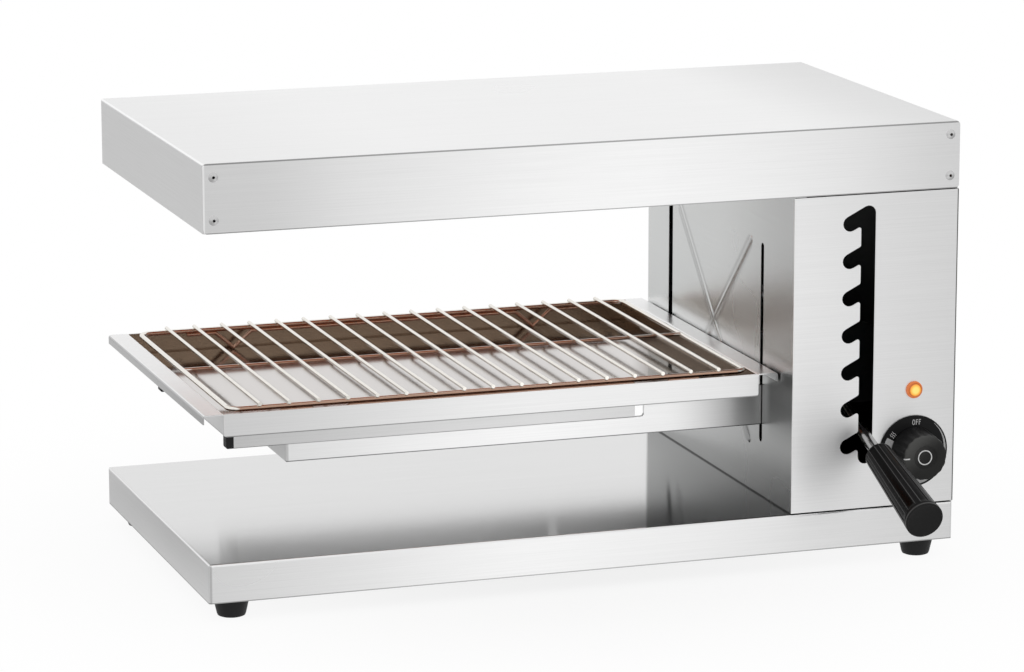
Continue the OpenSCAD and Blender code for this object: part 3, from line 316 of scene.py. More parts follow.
def noise(tree, place, scale, detail, roughness=0.5):
    """Noise at a place, with its scale in cycles per metre."""
    inputs = {"Vector": place, "Scale": scale, "Detail": detail, "Roughness": roughness}
    return new_node(tree, "TexNoise", inputs).outputs["Fac"]


def stretched_noise(tree, scale, detail, roughness=0.5):
    """Noise on the piece's own coordinates stretched by scale (x, y, z), in cycles per metre."""
    mapping = new_node(tree, "Mapping", {"Vector": own_place(tree), "Scale": scale})
    return noise(tree, mapping.outputs["Vector"], 1.0, detail, roughness)


@functools.cache
def sheet_grain_group():
    """Fine lines of a brushed sheet: along X, and along Y on faces that look to the side."""
    group, _, end = node_group("Sheet grain", {}, ("Line", "Cloud"))
    geometry = group.nodes.new("ShaderNodeNewGeometry")
    normal = new_node(group, "SeparateXYZ", {0: geometry.outputs["Normal"]})
    sideways = math_node(group, "GREATER_THAN", math_node(group, "ABSOLUTE", normal.outputs["X"]), 0.7)
    along_x = stretched_noise(group, (GRAIN_ALONG, GRAIN_ACROSS, GRAIN_ACROSS), 3, 0.7)
    along_y = stretched_noise(group, (GRAIN_ACROSS, GRAIN_ALONG, GRAIN_ACROSS), 3, 0.7)
    line = new_node(group, "Mix", {"Factor": sideways, "A": along_x, "B": along_y})
    cloud = stretched_noise(group, (GRAIN_CLOUDS,) * 3, 2)
    feed(group, end, {"Line": line.outputs["Result"], "Cloud": cloud})
    return group


@functools.cache
def speckle_group():
    """Fine irregular speckle of a moulded, cast or rubber surface."""
    group, start, end = node_group("Moulding speckle", {"Fineness": 900.0}, ("Speckle",))
    feed(group, end, {"Speckle": noise(group, own_place(group), start.outputs["Fineness"], 2)})
    return group


def plain_material(name, colour, roughness, metallic=0.0, specular=0.5):
    """A Principled material with constant values; returns the material, its tree and its shader."""
    material = bpy.data.materials.new(name)
    material.use_nodes = True
    material.diffuse_color = (*colour, 1)
    tree = material.node_tree
    shader = tree.nodes["Principled BSDF"]
    feed(tree, shader, {"Base Color": (*colour, 1), "Roughness": roughness, "Metallic": metallic,
                        "Specular IOR Level": specular})
    return material, tree, shader


def vary_gloss(tree, shader, pattern, roughness, swing):
    """Roughness that swings with a pattern by a share of its middle value."""
    inputs = {"Value": pattern, "From Min": NOISE_LOW, "From Max": NOISE_HIGH,
              "To Min": roughness * (1 - swing), "To Max": min(1.0, roughness * (1 + swing))}
    feed(tree, shader, {"Roughness": new_node(tree, "MapRange", inputs).outputs["Result"]})


def vary_colour(tree, shader, pattern, colour, swing):
    """Base colour that swings with a pattern, from darker to lighter by a share."""
    ramp = new_node(tree, "ValToRGB", {"Fac": pattern})
    dark, light = ramp.color_ramp.elements
    dark.position, light.position = NOISE_LOW, NOISE_HIGH
    dark.color, light.color = (*shade(colour, 1 - swing), 1), (*shade(colour, 1 + swing), 1)
    feed(tree, shader, {"Base Color": ramp.outputs["Color"]})


def shade(colour, share):
    """The colour made lighter or darker by a share."""
    return tuple(min(1.0, channel * share) for channel in colour)


# Places and directions of the masks below are in the piece's own coordinates.

def box_mask(tree, low, high):
    """1 inside a box between its low and high corners, and 0 outside."""
    low, high = np.asarray(low), np.asarray(high)
    offset = math_node(tree, "SUBTRACT", own_place(tree), (low + high) / 2, kind="VectorMath")
    distance = math_node(tree, "ABSOLUTE", offset, kind="VectorMath")
    share = math_node(tree, "DIVIDE", distance, (high - low) / 2, kind="VectorMath")
    x, y, z = new_node(tree, "SeparateXYZ", {0: share}).outputs
    farthest = math_node(tree, "MAXIMUM", math_node(tree, "MAXIMUM", x, y), z)
    return math_node(tree, "LESS_THAN", farthest, 1.0)


def along(tree, direction):
    """Distance along a direction."""
    dot = new_node(tree, "VectorMath", {0: own_place(tree), 1: direction}, operation="DOT_PRODUCT")
    return dot.outputs["Value"]


def smooth_rise(tree, value, start, end):
    """0 to 1 with a smooth rise while a value goes from start to end."""
    inputs = {"Value": value, "From Min": start, "From Max": end}
    return new_node(tree, "MapRange", inputs, interpolation_type="SMOOTHSTEP").outputs["Result"]


def slope_mask(tree, direction, start, end, origin=0.0):
    """0 to 1 with a smooth rise along a direction, from start to end in millimetres from an origin."""
    return smooth_rise(tree, along(tree, direction), origin + start * MM, origin + end * MM)


def stripe_mask(tree, normal, place, reach):
    """1 on a plane given by its normal and place, and 0 past its reach."""
    distance = math_node(tree, "ABSOLUTE", math_node(tree, "SUBTRACT", along(tree, normal), place))
    return smooth_rise(tree, distance, reach, reach / 2)


def oval(tree, kind, middle, radii, turn=0):
    """A gradient: 1 in the middle of an oval and 0 past its radii.

    The turn is in degrees about Z, and a direction whose radius is 0 doesn't count.
    """
    rotation = (0, 0, math.radians(turn))
    inputs = {"Vector": own_place(tree), "Location": middle, "Rotation": rotation, "Scale": radii}
    mapping = new_node(tree, "Mapping", inputs, vector_type="TEXTURE")
    return new_node(tree, "TexGradient", {0: mapping.outputs[0]}, gradient_type=kind).outputs["Fac"]


def times(tree, *masks):
    """The product of masks."""
    product = masks[0]
    for mask in masks[1:]:
        product = math_node(tree, "MULTIPLY", product, mask)
    return product


def side_mask(tree, node, *sides):
    """The product of masks that rise between two distances in from sides of a node's box."""
    masks = []
    for side, start, end in sides:
        if side == "middle":
            edge, axis, way = 0.0, 0, 1
        else:
            corner, axis, way = SIDES[side]
            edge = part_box(node)[corner][axis]
        masks.append(slope_mask(tree, np.eye(3)[axis], way * start, way * end, edge))
    return times(tree, *masks)


def layer(tree, mask, value, name="Base Color", blend="MIX"):
    """Lays a colour or number over what the shader's input has now, where the mask is 1."""
    socket = tree.nodes["Principled BSDF"].inputs[name]
    coloured = socket.type == "RGBA"
    inputs = {
        "A": socket.links[0].from_socket if socket.is_linked else socket.default_value,
        "B": (*value, 1) if coloured else value,
        "Factor": mask,
    }
    mix = new_node(tree, "Mix", inputs, data_type="RGBA" if coloured else "FLOAT", blend_type=blend)
    tree.links.new(mix.outputs["Result"], socket)


def darken(tree, mask, share):
    """Paints shade: multiplies the base colour by a share where the mask is 1."""
    layer(tree, mask, (share, share, share), blend="MULTIPLY")


def tone(tree, node, rows):
    """Paints shade on a finish by a table of darker shares and their places."""
    for share, *sides in rows:
        darken(tree, side_mask(tree, node, *sides), share)


def bump(tree, shader, height, distance, strength):
    """A Bump node from height to the shader's normal."""
    node = new_node(tree, "Bump", {"Strength": strength, "Distance": distance, "Height": height})
    feed(tree, shader, {"Normal": node.outputs["Normal"]})


def paint_shade_inside(material):
    """Paints shade black and dull on the faces that lie inside the closed column, where no light gets in."""
    tree = material.node_tree
    rear_low, rear_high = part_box("column_rear_panel")
    front_low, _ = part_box("column_front_panel")
    _, side_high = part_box("column_side_panel")
    _, base_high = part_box("base_shell")
    skin = 0.6 * MM
    inside_low = (rear_low[0] + skin, front_low[1] + skin, base_high[2] - skin)
    inside_high = (side_high[0] - skin, rear_high[1] - skin, rear_high[2] - skin)
    inside = box_mask(tree, inside_low, inside_high)
    layer(tree, inside, INSIDE_PAINTED_SHADE)
    layer(tree, inside, 0.6, "Roughness")
    return material


def brushed_steel(name, colour, roughness, streak, line_depth=0.03):
    """Ground sheet: lines in tone, roughness and bump, with its gloss stretched across the grain."""
    material, tree, shader = plain_material(name, colour, roughness, metallic=1.0)
    grain = new_node(tree, "Group", {}, node_tree=sheet_grain_group())
    vary_colour(tree, shader, grain.outputs["Line"], colour, line_depth)
    vary_gloss(tree, shader, grain.outputs["Cloud"], roughness, 0.1)
    grain_way = new_node(tree, "CombineXYZ", {"X": 1.0, "Y": 0.02}).outputs[0]
    feed(tree, shader, {"Anisotropic": streak, "Anisotropic Rotation": 0.25, "Tangent": grain_way})
    bump(tree, shader, grain.outputs["Line"], 0.02 * MM, strength=0.12)
    return material


def speckled(name, colour, roughness, fineness=900, depth=0.01, metallic=0.0, specular=0.5, swing=0.12):
    """A moulded, cast or rubber surface with fine speckle in tone, gloss and bump (depth in millimetres)."""
    material, tree, shader = plain_material(name, colour, roughness, metallic, specular)
    grain = new_node(tree, "Group", {}, node_tree=speckle_group())
    feed(tree, grain, {"Fineness": fineness})
    vary_colour(tree, shader, grain.outputs["Speckle"], colour, swing)
    vary_gloss(tree, shader, grain.outputs["Speckle"], roughness, 0.15)
    bump(tree, shader, grain.outputs["Speckle"], depth * MM, strength=0.3)
    return material


def dress(node_names, material):
    """Gives CAD nodes one material."""
    for name in node_names:
        mesh = NODES[name].data
        mesh.materials.clear()
        mesh.materials.append(material)


def keep_value(piece, name, grid):
    """Stores a number per ring and angle of a lathed body as a mesh attribute, with 0 at both poles."""
    values = np.concatenate([grid.ravel(), [0, 0]])
    piece.data.attributes.new(name, "FLOAT", "POINT").data.foreach_set("value", values)


def kept_value(tree, name):
    """Reads such a mesh attribute in a material."""
    return new_node(tree, "Attribute", {}, attribute_name=name).outputs["Fac"]


def own(piece, material, body):
    """Gives a new piece its material and body."""
    piece.data.materials.append(material)
    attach(piece, body)


# ---- Settings ----

def length_setting(name, description, default):
    """A length that a user may change."""
    return FloatProperty(name=name, description=description, default=default, unit="LENGTH")


def colour_setting(name, description, *default):
    """A colour that a user may change."""
    return FloatVectorProperty(name=name, description=description, default=default, subtype="COLOR", size=3)


class MelterSizes(bpy.types.PropertyGroup):
    """Sizes of the moulded pieces and of the camera."""

    grip_grooves: IntProperty(
        name="Grip grooves", description="Grooves along the lever's grip", default=8, min=4, max=16
    )
    groove_depth: length_setting("Groove depth", "Depth of a groove in the grip", 0.55 * MM)
    grip_inner_radius: length_setting("Grip inner radius", "Radius of the grip's end near the gate", 11 * MM)
    grip_outer_radius: length_setting("Grip outer radius", "Radius of the grip at its cap", GRIP_RADIUS)
    knob_radius: length_setting("Knob radius", "Radius of the knob's skirt", half_width("knob"))
    knob_flutes: IntProperty(name="Knob flutes", description="Flutes on the knob", default=18, min=8, max=36)
    dial_radius: length_setting("Dial radius", "Radius of the printed dial", half_width("control_dial"))
    lens_radius: length_setting("Lens radius", "Radius of the pilot lamp's lens", half_width("lamp_lens"))
    focal_length: FloatProperty(
        name="Focal length", description="Focal length of the camera on a 36 mm sensor", default=153.43,
        unit="CAMERA",
    )


class MelterFinish(bpy.types.PropertyGroup):
    """Colours and gloss of the finishes."""

    sheet_colour: colour_setting("Sheet", "Colour of the brushed outer sheets", 0.84, 0.84, 0.84)
    sheet_roughness: FloatProperty(
        name="Sheet roughness", description="Roughness of the brushed outer sheets", default=0.3, min=0, max=1
    )
    inner_colour: colour_setting("Inner sheet", "Colour of the column's bright inner wall", 0.78, 0.79, 0.785)
    tray_colour: colour_setting("Tray", "Colour of the drip pan, runners and fork", 0.75, 0.75, 0.75)
    wire_colour: colour_setting("Grate wire", "Colour of the polished grate wires", 0.82, 0.79, 0.74)
    element_colour: colour_setting("Element", "Colour of the warm element tubes", 0.42, 0.13, 0.06)
    plastic_colour: colour_setting("Plastic", "Colour of the black moulded pieces", 0.009, 0.009, 0.0092)
    rubber_colour: colour_setting("Rubber", "Colour of the feet and buffers", 0.012, 0.012, 0.0125)
    lamp_colour: colour_setting("Lamp", "Colour of the pilot lamp's lens", 0.42, 0.12, 0.02)
    print_colour: colour_setting("Print", "Colour of the dial's printed wedge", 0.42, 0.42, 0.42)


def sizes():
    """The size settings."""
    return bpy.context.scene.melter_sizes


def finish():
    """The finish settings."""
    return bpy.context.scene.melter_finish


def colour(name):
    """One colour of the finish settings as a tuple."""
    return tuple(getattr(finish(), name))


# ---- Operators ----

class MELTER_OT_sheets(bpy.types.Operator):
    """Finish the folded sheets of the base, hood and column"""

    bl_idname = "melter.sheets"
    bl_label = "Outer and inner sheets"

    def execute(self, context):
        dress(["column_side_panel", "column_rear_panel"], paint_shade_inside(self.sheet("Brushed sheet")))
        self.hood()
        self.hood_front()
        self.base()
        # The column's front: a darker copy of the sheet as painted shade, with a painted shadow along its
        # right edge.
        column = self.sheet("Column sheet", share=0.97)
        tone(column.node_tree, "column_front_panel", COLUMN_EDGE_SHADOW)
        dress(["column_front_panel"], paint_shade_inside(column))
        self.inner_wall()
        browned = brushed_steel("Browned reflector", (0.5, 0.3, 0.2), roughness=0.25, streak=0.3)
        dress(["hood_reflector", "element_hangers"], browned)
        return {"FINISHED"}

    @staticmethod
    def sheet(name, share=1.0):
        """A brushed outer sheet in a share of the settings' colour; a share other than 1 paints light or
        shade.
        """
        return brushed_steel(name, shade(colour("sheet_colour"), share), finish().sheet_roughness, streak=0.7)

    def hood(self):
        """The hood's top and ends: a lighter copy of the sheet as painted light, painted shade, and a painted
        highlight along the upper left bend.
        """
        hood = self.sheet("Hood sheet", share=1.035)
        tree = hood.node_tree
        tone(tree, "hood_shell", HOOD_PAINTED_SHADE)
        layer(tree, side_mask(tree, "hood_shell", LEFT_EDGE, TOP_EDGE), PAINTED_EDGE_HIGHLIGHT)
        dress(["hood_shell"], paint_shade_inside(hood))

    def hood_front(self):
        """The hood's front: a lighter copy as painted light, painted shade at its ends, a painted highlight
        on its left edge and painted shadow along its seams.
        """
        front = self.sheet("Hood front sheet", share=1.03)
        tree = front.node_tree
        tone(tree, "hood_front_panel", HOOD_FRONT_END_SHADE)
        layer(tree, side_mask(tree, "hood_front_panel", LEFT_EDGE), PAINTED_EDGE_HIGHLIGHT)
        tone(tree, "hood_front_panel", HOOD_FRONT_SEAM_SHADOW)
        dress(["hood_front_panel"], front)

    def base(self):
        """The base: its top smoother than its front, with painted shade on its sheet, a painted reflection of
        the wall on its top and painted shade at its front left.
        """
        base = self.sheet("Base sheet")
        tree = base.node_tree
        top = side_mask(tree, "base_shell", BASE_TOP)
        layer(tree, top, 0.13, "Roughness")
        tone(tree, "base_shell", BASE_PAINTED_SHADE)
        wall_low, wall_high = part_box("column_inner_wall")
        # The painted reflection of the wall starts at a line from the wall's rear foot that runs to the left
        # as it comes forward.
        across = np.array([0.937, -0.348, 0])
        line = across @ (wall_low[0], wall_high[1], 0)
        wall_reflection = times(tree, top, slope_mask(tree, across, -1.2, 1.5, line))
        forward = slope_mask(tree, (0, -1, 0), -110, 100)
        low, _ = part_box("base_shell")
        front_left = slope_mask(tree, (0.5, 1, 0), -40, -90, low[1])
        # Painted reflection of the wall on the top, darker towards the front, then painted shade at the top's
        # front left.
        darken(tree, wall_reflection, 0.55)
        darken(tree, times(tree, wall_reflection, forward), 0.45)
        darken(tree, times(tree, top, front_left), 0.94)
        dress(["base_shell"], paint_shade_inside(base))

    @staticmethod
    def inner_wall():
        """The column's inner wall: painted shade low down and at the front, and painted shade in wide bands
        along its two crossed beads.
        """
        inner = brushed_steel("Bright inner sheet", colour("inner_colour"), roughness=0.26, streak=0.5,
                              line_depth=0.02)
        tree = inner.node_tree
        low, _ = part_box("column_inner_wall")
        # Painted shade, darker low down and towards the front.
        darken(tree, slope_mask(tree, (0, 0.25, 1), 110, 10, low[2]), 0.65)
        darken(tree, slope_mask(tree, (0, 1, 0.12), 200, 30, low[1]), 0.76)
        tone(tree, "column_inner_wall", WALL_PAINTED_SHADE)
        points = node_points("column_inner_wall")
        raised = points[points[:, 0] < low[0] + 0.7 * MM]
        (y0, z0), (y1, z1) = raised[:, 1:].min(axis=0), raised[:, 1:].max(axis=0)
        field = box_mask(tree, (low[0] - MM, y0, z0), (low[0] + 3 * MM, y1, z1))
        # Painted shade in a wide band along each of the two beads.
        for run in (np.array([y1 - y0, z1 - z0]), np.array([y1 - y0, z0 - z1])):
            normal = np.array([0, -run[1], run[0]]) / np.linalg.norm(run)
            middle = normal @ np.array([0, (y0 + y1) / 2, (z0 + z1) / 2])
            darken(tree, times(tree, field, stripe_mask(tree, normal, middle, 8 * MM)), 0.78)
        dress(["column_inner_wall", "terminal_plate"], paint_shade_inside(inner))


class MELTER_OT_tray(bpy.types.Operator):
    """Finish the drip pan, its runners and the fork"""

    bl_idname = "melter.tray"
    bl_label = "Drip pan and fork"

    def execute(self, context):
        # The fork, runners, crossbar and pan are lighter and darker copies of the tray colour: painted light
        # and shade.
        fork = self.sheet("Fork sheet", 1.12)
        tone(fork.node_tree, "arm_front_bar", FORK_PAINTED_SHADE)
        dress(["arm_front_bar", "arm_rear_bar"], fork)
        dress(["runner_front", "runner_rear"], self.sheet("Runner sheet", 0.86))
        dress(["fork_crossbar"], self.sheet("Crossbar sheet", 0.78))
        pan = self.sheet("Pan sheet", 1.15)
        self.pan_inside(pan.node_tree)
        tone(pan.node_tree, "drip_pan", PAN_PAINTED_SHADE)
        dress(["drip_pan"], pan)
        return {"FINISHED"}

    @staticmethod
    def sheet(name, share):
        """A tray sheet in a share of the settings' colour, lighter or darker as painted light or shade."""
        return brushed_steel(name, shade(colour("tray_colour"), share), roughness=0.3, streak=0.6)

    @staticmethod
    def pan_inside(tree):
        """The pan's inside is brown; its bottom is smoother and paler, with a painted dark reflection on the
        right.
        """
        low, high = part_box("drip_pan")
        wall, flange, sole, bottom_reach, rear_gap = np.array([0.5, 16.6, 0.5, 1.3, 5]) * MM
        inside_low = np.array([low[0] + flange, low[1] + wall, low[2] + sole])
        inside_high = np.array([high[0] - flange, high[1] - wall, high[2] - wall])
        well = box_mask(tree, inside_low, inside_high)
        bottom_high = (inside_high[0], inside_high[1] - rear_gap, low[2] + bottom_reach)
        bottom = box_mask(tree, inside_low, bottom_high)
        # A painted dark reflection on the right of the pan's bottom.
        painted_dark_reflection = times(tree, bottom, slope_mask(tree, (1, -0.37, 0), 88, 112))
        layer(tree, well, (0.26, 0.19, 0.135))
        layer(tree, bottom, (0.57, 0.54, 0.525))
        layer(tree, painted_dark_reflection, (0.14, 0.11, 0.085))
        layer(tree, well, 0.22, "Roughness")
        layer(tree, bottom, 0.07, "Roughness")


class MELTER_OT_wires(bpy.types.Operator):
    """Finish the grate, the elements and the bright rods"""

    bl_idname = "melter.wires"
    bl_label = "Grate, elements and rods"

    def execute(self, context):
        wire = speckled("Polished wire", colour("wire_colour"), roughness=0.14, fineness=500, metallic=1.0,
                        swing=0.05)
        tree = wire.node_tree
        # Painted reflection of the glowing elements on the lower wires, away from the ends.
        element_reflection = side_mask(tree, "wire_grate", ("top", 2.9, 3.3), ("left", 7, 10), ("right", 7, 10))
        layer(tree, element_reflection, (0.42, 0.27, 0.2))
        dress(["wire_grate"], wire)
        sheath = speckled("Warm element sheath", colour("element_colour"), roughness=0.5, fineness=700,
                          depth=0.03, metallic=0.4, swing=0.2)
        tree = sheath.node_tree
        feed(tree, tree.nodes["Principled BSDF"],
             {"Emission Color": (1.0, 0.3, 0.12, 1), "Emission Strength": 0.5})
        dress(["element_front", "element_rear"], sheath)
        bright = speckled("Ground rod", (0.46, 0.46, 0.46), roughness=0.24, fineness=600, metallic=1.0,
                          swing=0.05)
        dress(["guide_rod_front", "guide_rod_rear", "lever_pivot_pin", "swivel_pin", "lever_rod",
               "regulator_shaft"], bright)
        return {"FINISHED"}


class MELTER_OT_fittings(bpy.types.Operator):
    """Finish the rivets, screws, brackets, feet and electrical parts"""

    bl_idname = "melter.fittings"
    bl_label = "Fasteners, feet and electrical parts"

    def execute(self, context):
        dress(["foot_screws", "hood_rivets", "side_rivets", "rear_screws", "regulator_nut"],
              speckled("Fastener steel", (0.6, 0.6, 0.6), roughness=0.42, fineness=800, metallic=1.0,
                       swing=0.06))
        dress(["guide_bracket_lower", "guide_bracket_upper", "lever_bracket", "carriage_plate",
               "lever_saddle", "lever_yoke"],
              speckled("Mill plate", (0.09, 0.095, 0.1), roughness=0.5, fineness=300, depth=0.03,
                       metallic=1.0, swing=0.08))
        rubber = speckled("Black rubber", colour("rubber_colour"), roughness=0.5, depth=0.03, specular=0.25)
        dress(["foot_front_left", "foot_front_right", "foot_rear_left", "foot_rear_right", "buffer_front",
               "buffer_rear", "runner_plugs"], rubber)
        # A dark strip that makes shade inside the side panel's foot.
        own(self.shade_strip(), rubber, "housing")
        dress(["lamp_body", "cable_gland", "grip_cap", "knob_cap", "lever_grip", "knob", "control_dial"],
              speckled("Black moulding", colour("plastic_colour"), roughness=0.32, fineness=2200,
                       specular=0.12, swing=0.05))
        dress(["element_terminals", "terminal_block", "energy_regulator"],
              speckled("Pale ceramic", (0.72, 0.68, 0.58), roughness=0.6, fineness=600, depth=0.04))
        dress(["sliders_front", "sliders_rear"],
              speckled("Slider plastic", (0.7, 0.67, 0.58), roughness=0.45, fineness=600, depth=0.03))
        return {"FINISHED"}

    @staticmethod
    def shade_strip():
        """A dark strip put in only to make shade: it keeps light out over the base's bend, inside the side
        panel's foot.
        """
        low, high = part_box("column_side_panel")
        _, base_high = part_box("base_shell")
        sheet, width, tall, sunk, end_gap = np.array([1.2, 1.2, 1.5, 0.3, 3]) * MM
        reach = (low[1] + end_gap, high[1] - end_gap)
        ends = np.array([(high[0] - sheet, y, base_high[2] - sunk) for y in reach])
        strip = slab(ends, ends - (width, 0, 0), (0, 0, 1), tall)
        return mesh_object("side_panel_shade_strip", strip, smooth=False)


class MELTER_OT_grip(bpy.types.Operator):
    """Make the lever's grooved grip with its end cap"""

    bl_idname = "melter.grip"
    bl_label = "Lever grip"

    def execute(self, context):
        size = sizes()
        length = CAP_FAR - GRIP_NEAR - 0.4 * MM
        foot, foot_drop = np.array(GRIP_FOOT).T * MM
        rim, rim_drop = np.array(GRIP_RIM).T * MM
        body = np.linspace(5 * MM, length - 6 * MM, 40)
        inner, outer = size.grip_inner_radius, size.grip_outer_radius
        taper = np.interp(body, [0, length], [inner, outer])
        steps = np.concatenate([foot, body, length - rim])
        profile = np.concatenate([inner - foot_drop, taper, outer - rim_drop])
        # The phase is 0 in the middle of each groove and 0.5 half way to the next.
        turns = full_turn(64 * size.grip_grooves) * size.grip_grooves / (2 * math.pi)
        phase = np.abs((turns + 0.5) % 1 - 0.5)
        channel = 1 - smooth_step(0.24, 0.29, phase)
        fade = plateau(steps, 1.5 * MM, 4 * MM, length - 6.5 * MM, length - 5 * MM)
        radius = np.maximum(profile[:, None] - size.groove_depth * np.outer(fade, channel), 0.1 * MM)
        grip = lathe("grip_body", PIVOT + ROD_AXIS * GRIP_NEAR, ROD_AXIS, steps, radius)
        # Kept values: the grooves, which take painted shade, and painted highlights along the grooves' edges
        # and round the cap's rim.
        cap_rim_highlight = ridge(steps, length - 1.2 * MM, 0.5 * MM)
        keep_value(grip, "channel", np.outer(fade, channel))
        keep_value(grip, "edge highlight", np.outer(fade, ridge(phase, 0.31, 0.02)) + cap_rim_highlight[:, None])
        material = speckled("Grip moulding", shade(colour("plastic_colour"), 1.1), roughness=0.24,
                            fineness=2200, depth=0.005, specular=0.05, swing=0.05)
        tree = material.node_tree
        end = PIVOT @ ROD_AXIS + GRIP_NEAR + length
        cap_face = slope_mask(tree, ROD_AXIS, -0.9, -0.7, end)
        # Painted shade in the grooves, painted highlights on their edges and the cap's rim, and a paler cap
        # face.
        layer(tree, kept_value(tree, "channel"), (0.001, 0.001, 0.001))
        layer(tree, kept_value(tree, "edge highlight"), (0.1, 0.1, 0.1))
        layer(tree, cap_face, (0.018, 0.018, 0.018))
        own(grip, material, "lever")
        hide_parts("lever_grip", "grip_cap")
        return {"FINISHED"}


class MELTER_OT_knob(bpy.types.Operator):
    """Make the fluted control knob with its pointer and cap ring"""

    bl_idname = "melter.knob"
    bl_label = "Control knob"

    def execute(self, context):
        size = sizes()
        low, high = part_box("knob")
        tall = high[1] - low[1]
        steps, drop = np.array(KNOB_RINGS).T
        steps = steps / KNOB_TALL * tall
        profile = size.knob_radius - drop * MM
        share = plateau(steps, 2 * MM, 4 * MM, tall - 1.6 * MM, tall - 0.2 * MM)
        angle = full_turn(16 * size.knob_flutes)
        flute = 0.9 * MM * (0.5 - 0.5 * np.cos(angle * size.knob_flutes)) ** 1.5
        radius = profile[:, None] - np.outer(share, flute)
        back = np.array([KNOB_CENTRE[0], high[1], KNOB_CENTRE[2]])
        knob = lathe("knob_body", back, (0, -1, 0), steps, radius)
        own(knob, self.moulding(low), "knob")
        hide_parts("knob", "knob_cap")
        front = np.array([KNOB_CENTRE[0], low[1], KNOB_CENTRE[2]])
        ring = self.ring(front, radius=5.9 * MM, width=0.8 * MM)
        surface = join_surfaces([self.pointer(front, size.knob_radius), ring])
        marks = mesh_object("knob_marks", surface, smooth=False)
        own(marks, speckled("White fill", (0.7, 0.7, 0.7), roughness=0.5), "knob")
        return {"FINISHED"}

    @staticmethod
    def moulding(low):
        """Black plastic with a duller face, greyer as painted light, and a painted highlight at its upper
        left.
        """
        material = speckled("Knob moulding", colour("plastic_colour"), roughness=0.35, fineness=2200,
                            specular=0.12, swing=0.05)
        tree = material.node_tree
        face = slope_mask(tree, (0, -1, 0), -2.2, -0.2, -low[1])
        corner = np.array([-1, 0, 1]) @ KNOB_CENTRE
        upper_left_highlight = slope_mask(tree, (-1, 0, 1), -6, 26, corner)
        # The face is duller and greyer as painted light, with a painted highlight at its upper left.
        layer(tree, face, (0.02, 0.02, 0.0195))
        layer(tree, face, 0.5, "Roughness")
        layer(tree, times(tree, face, upper_left_highlight), (0.085, 0.085, 0.082))
        return material

    @staticmethod
    def pointer(front, edge):
        """A short white bar on the face's left edge: a strip from the rim towards the middle."""
        reach = edge - np.array([6.4, 3.4, 2.4, 1.6]) * MM
        sink = np.array([0.05, 0.05, 0.3, 1.2]) * MM
        along = np.stack([-reach, sink, 0 * reach], 1)
        half = np.array([0, 0, 0.5 * MM])
        return slab(front + along - half, front + along + half, (0, -1, 0), 0.25 * MM)

    @staticmethod
    def ring(front, radius, width):
        """A flat ring on the sunk middle: a strip whose two edges are circles."""
        angle = np.linspace(0, 2 * math.pi, 65)
        circle = np.stack([np.cos(angle), 0 * angle, np.sin(angle)], 1)
        centre = front + np.array([0, 1.05 * MM, 0])
        return slab(centre + circle * (radius - width), centre + circle * radius, (0, -1, 0), 0.2 * MM)


class MELTER_OT_dial(bpy.types.Operator):
    """Print the dial: OFF, the heat mark and the heat wedge"""

    bl_idname = "melter.dial"
    bl_label = "Dial print"

    # The dial is drawn in millimetres at this radius. The letters stand this far up, and an F's strokes
    # run from its stem's middle.
    drawn_radius = 28.5
    letters_up = 23.2
    f_strokes = (((0, -2.1), (0, 2.1)), ((0, 1.85), (1.5, 1.85)), ((0, 0.2), (1.2, 0.2)))

    def execute(self, context):
        low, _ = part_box("control_dial")
        self.unit = sizes().dial_radius / self.drawn_radius
        self.face = np.array([KNOB_CENTRE[0], low[1] - 0.02 * MM, KNOB_CENTRE[2]])
        turn = np.linspace(WEDGE_OUTER[0][0], WEDGE_OUTER[-1][0], 120)
        outer, width = (np.interp(turn, *np.array(table).T) for table in (WEDGE_OUTER, WEDGE_WIDTH))
        wedge = self.band(np.radians(turn), outer, width)
        letters = [self.letter_o(-0.4), self.letter_f(2.45), self.letter_f(4.9)]
        heat = [self.wave(offset) for offset in (-1.5, 0, 1.5)]
        for name, surface, finish_name, tint in (
            ("dial_wedge", wedge, "Grey print", colour("print_colour")),
            ("dial_marks", join_surfaces(letters + heat), "Pale print", (0.62, 0.62, 0.62)),
        ):
            piece = mesh_object(name, surface, smooth=False)
            own(piece, speckled(finish_name, tint, roughness=0.5), "housing")
        return {"FINISHED"}

    def printed(self, left, right):
        """A thin layer of print on the dial's face between two drawn paths."""
        shift = [np.stack([across, 0 * across, up], axis=-1) for across, up in (left.T, right.T)]
        return slab(*(self.face + self.unit * np.array(shift)), (0, 1, 0), -0.05 * MM)

    def stroke(self, path, width):
        """The path moved half the width to each side."""
        run = np.gradient(path, axis=0)
        side = np.stack([-run[:, 1], run[:, 0]], axis=1)
        side *= width / 2 / np.maximum(np.linalg.norm(side, axis=1), 1e-9)[:, None]
        return self.printed(path + side, path - side)

    def band(self, angle, outer, width):
        """Part of a ring between two radii, which may change along it."""
        spin = np.stack([np.cos(angle), np.sin(angle)], axis=1)
        return self.printed(spin * outer[:, None], spin * (outer - width)[:, None])

    def letter_o(self, across):
        """An upright oval outline."""
        angle = np.linspace(0, 2 * math.pi, 33)
        path = np.stack([across + 0.95 * np.cos(angle), self.letters_up + 1.9 * np.sin(angle)], axis=1)
        return self.stroke(path, 0.45)

    def letter_f(self, across):
        """A stem with two bars, each a straight stroke."""
        corner = np.array([across - 0.7, self.letters_up])
        return join_surfaces([self.stroke(corner + line, 0.45) for line in self.f_strokes])

    def wave(self, offset):
        """One of three short wavy strokes that stand for heat, on a spoke at the upper left."""
        run = np.linspace(-2.4, 2.4, 17)
        spoke = math.radians(141)
        outward = np.array([math.cos(spoke), math.sin(spoke)])
        across = np.array([-outward[1], outward[0]])
        sway = 0.25 * np.sin(run * 2.2)
        path = outward * 22.6 + run[:, None] * outward + (offset + sway)[:, None] * across
        return self.stroke(path, 0.35)


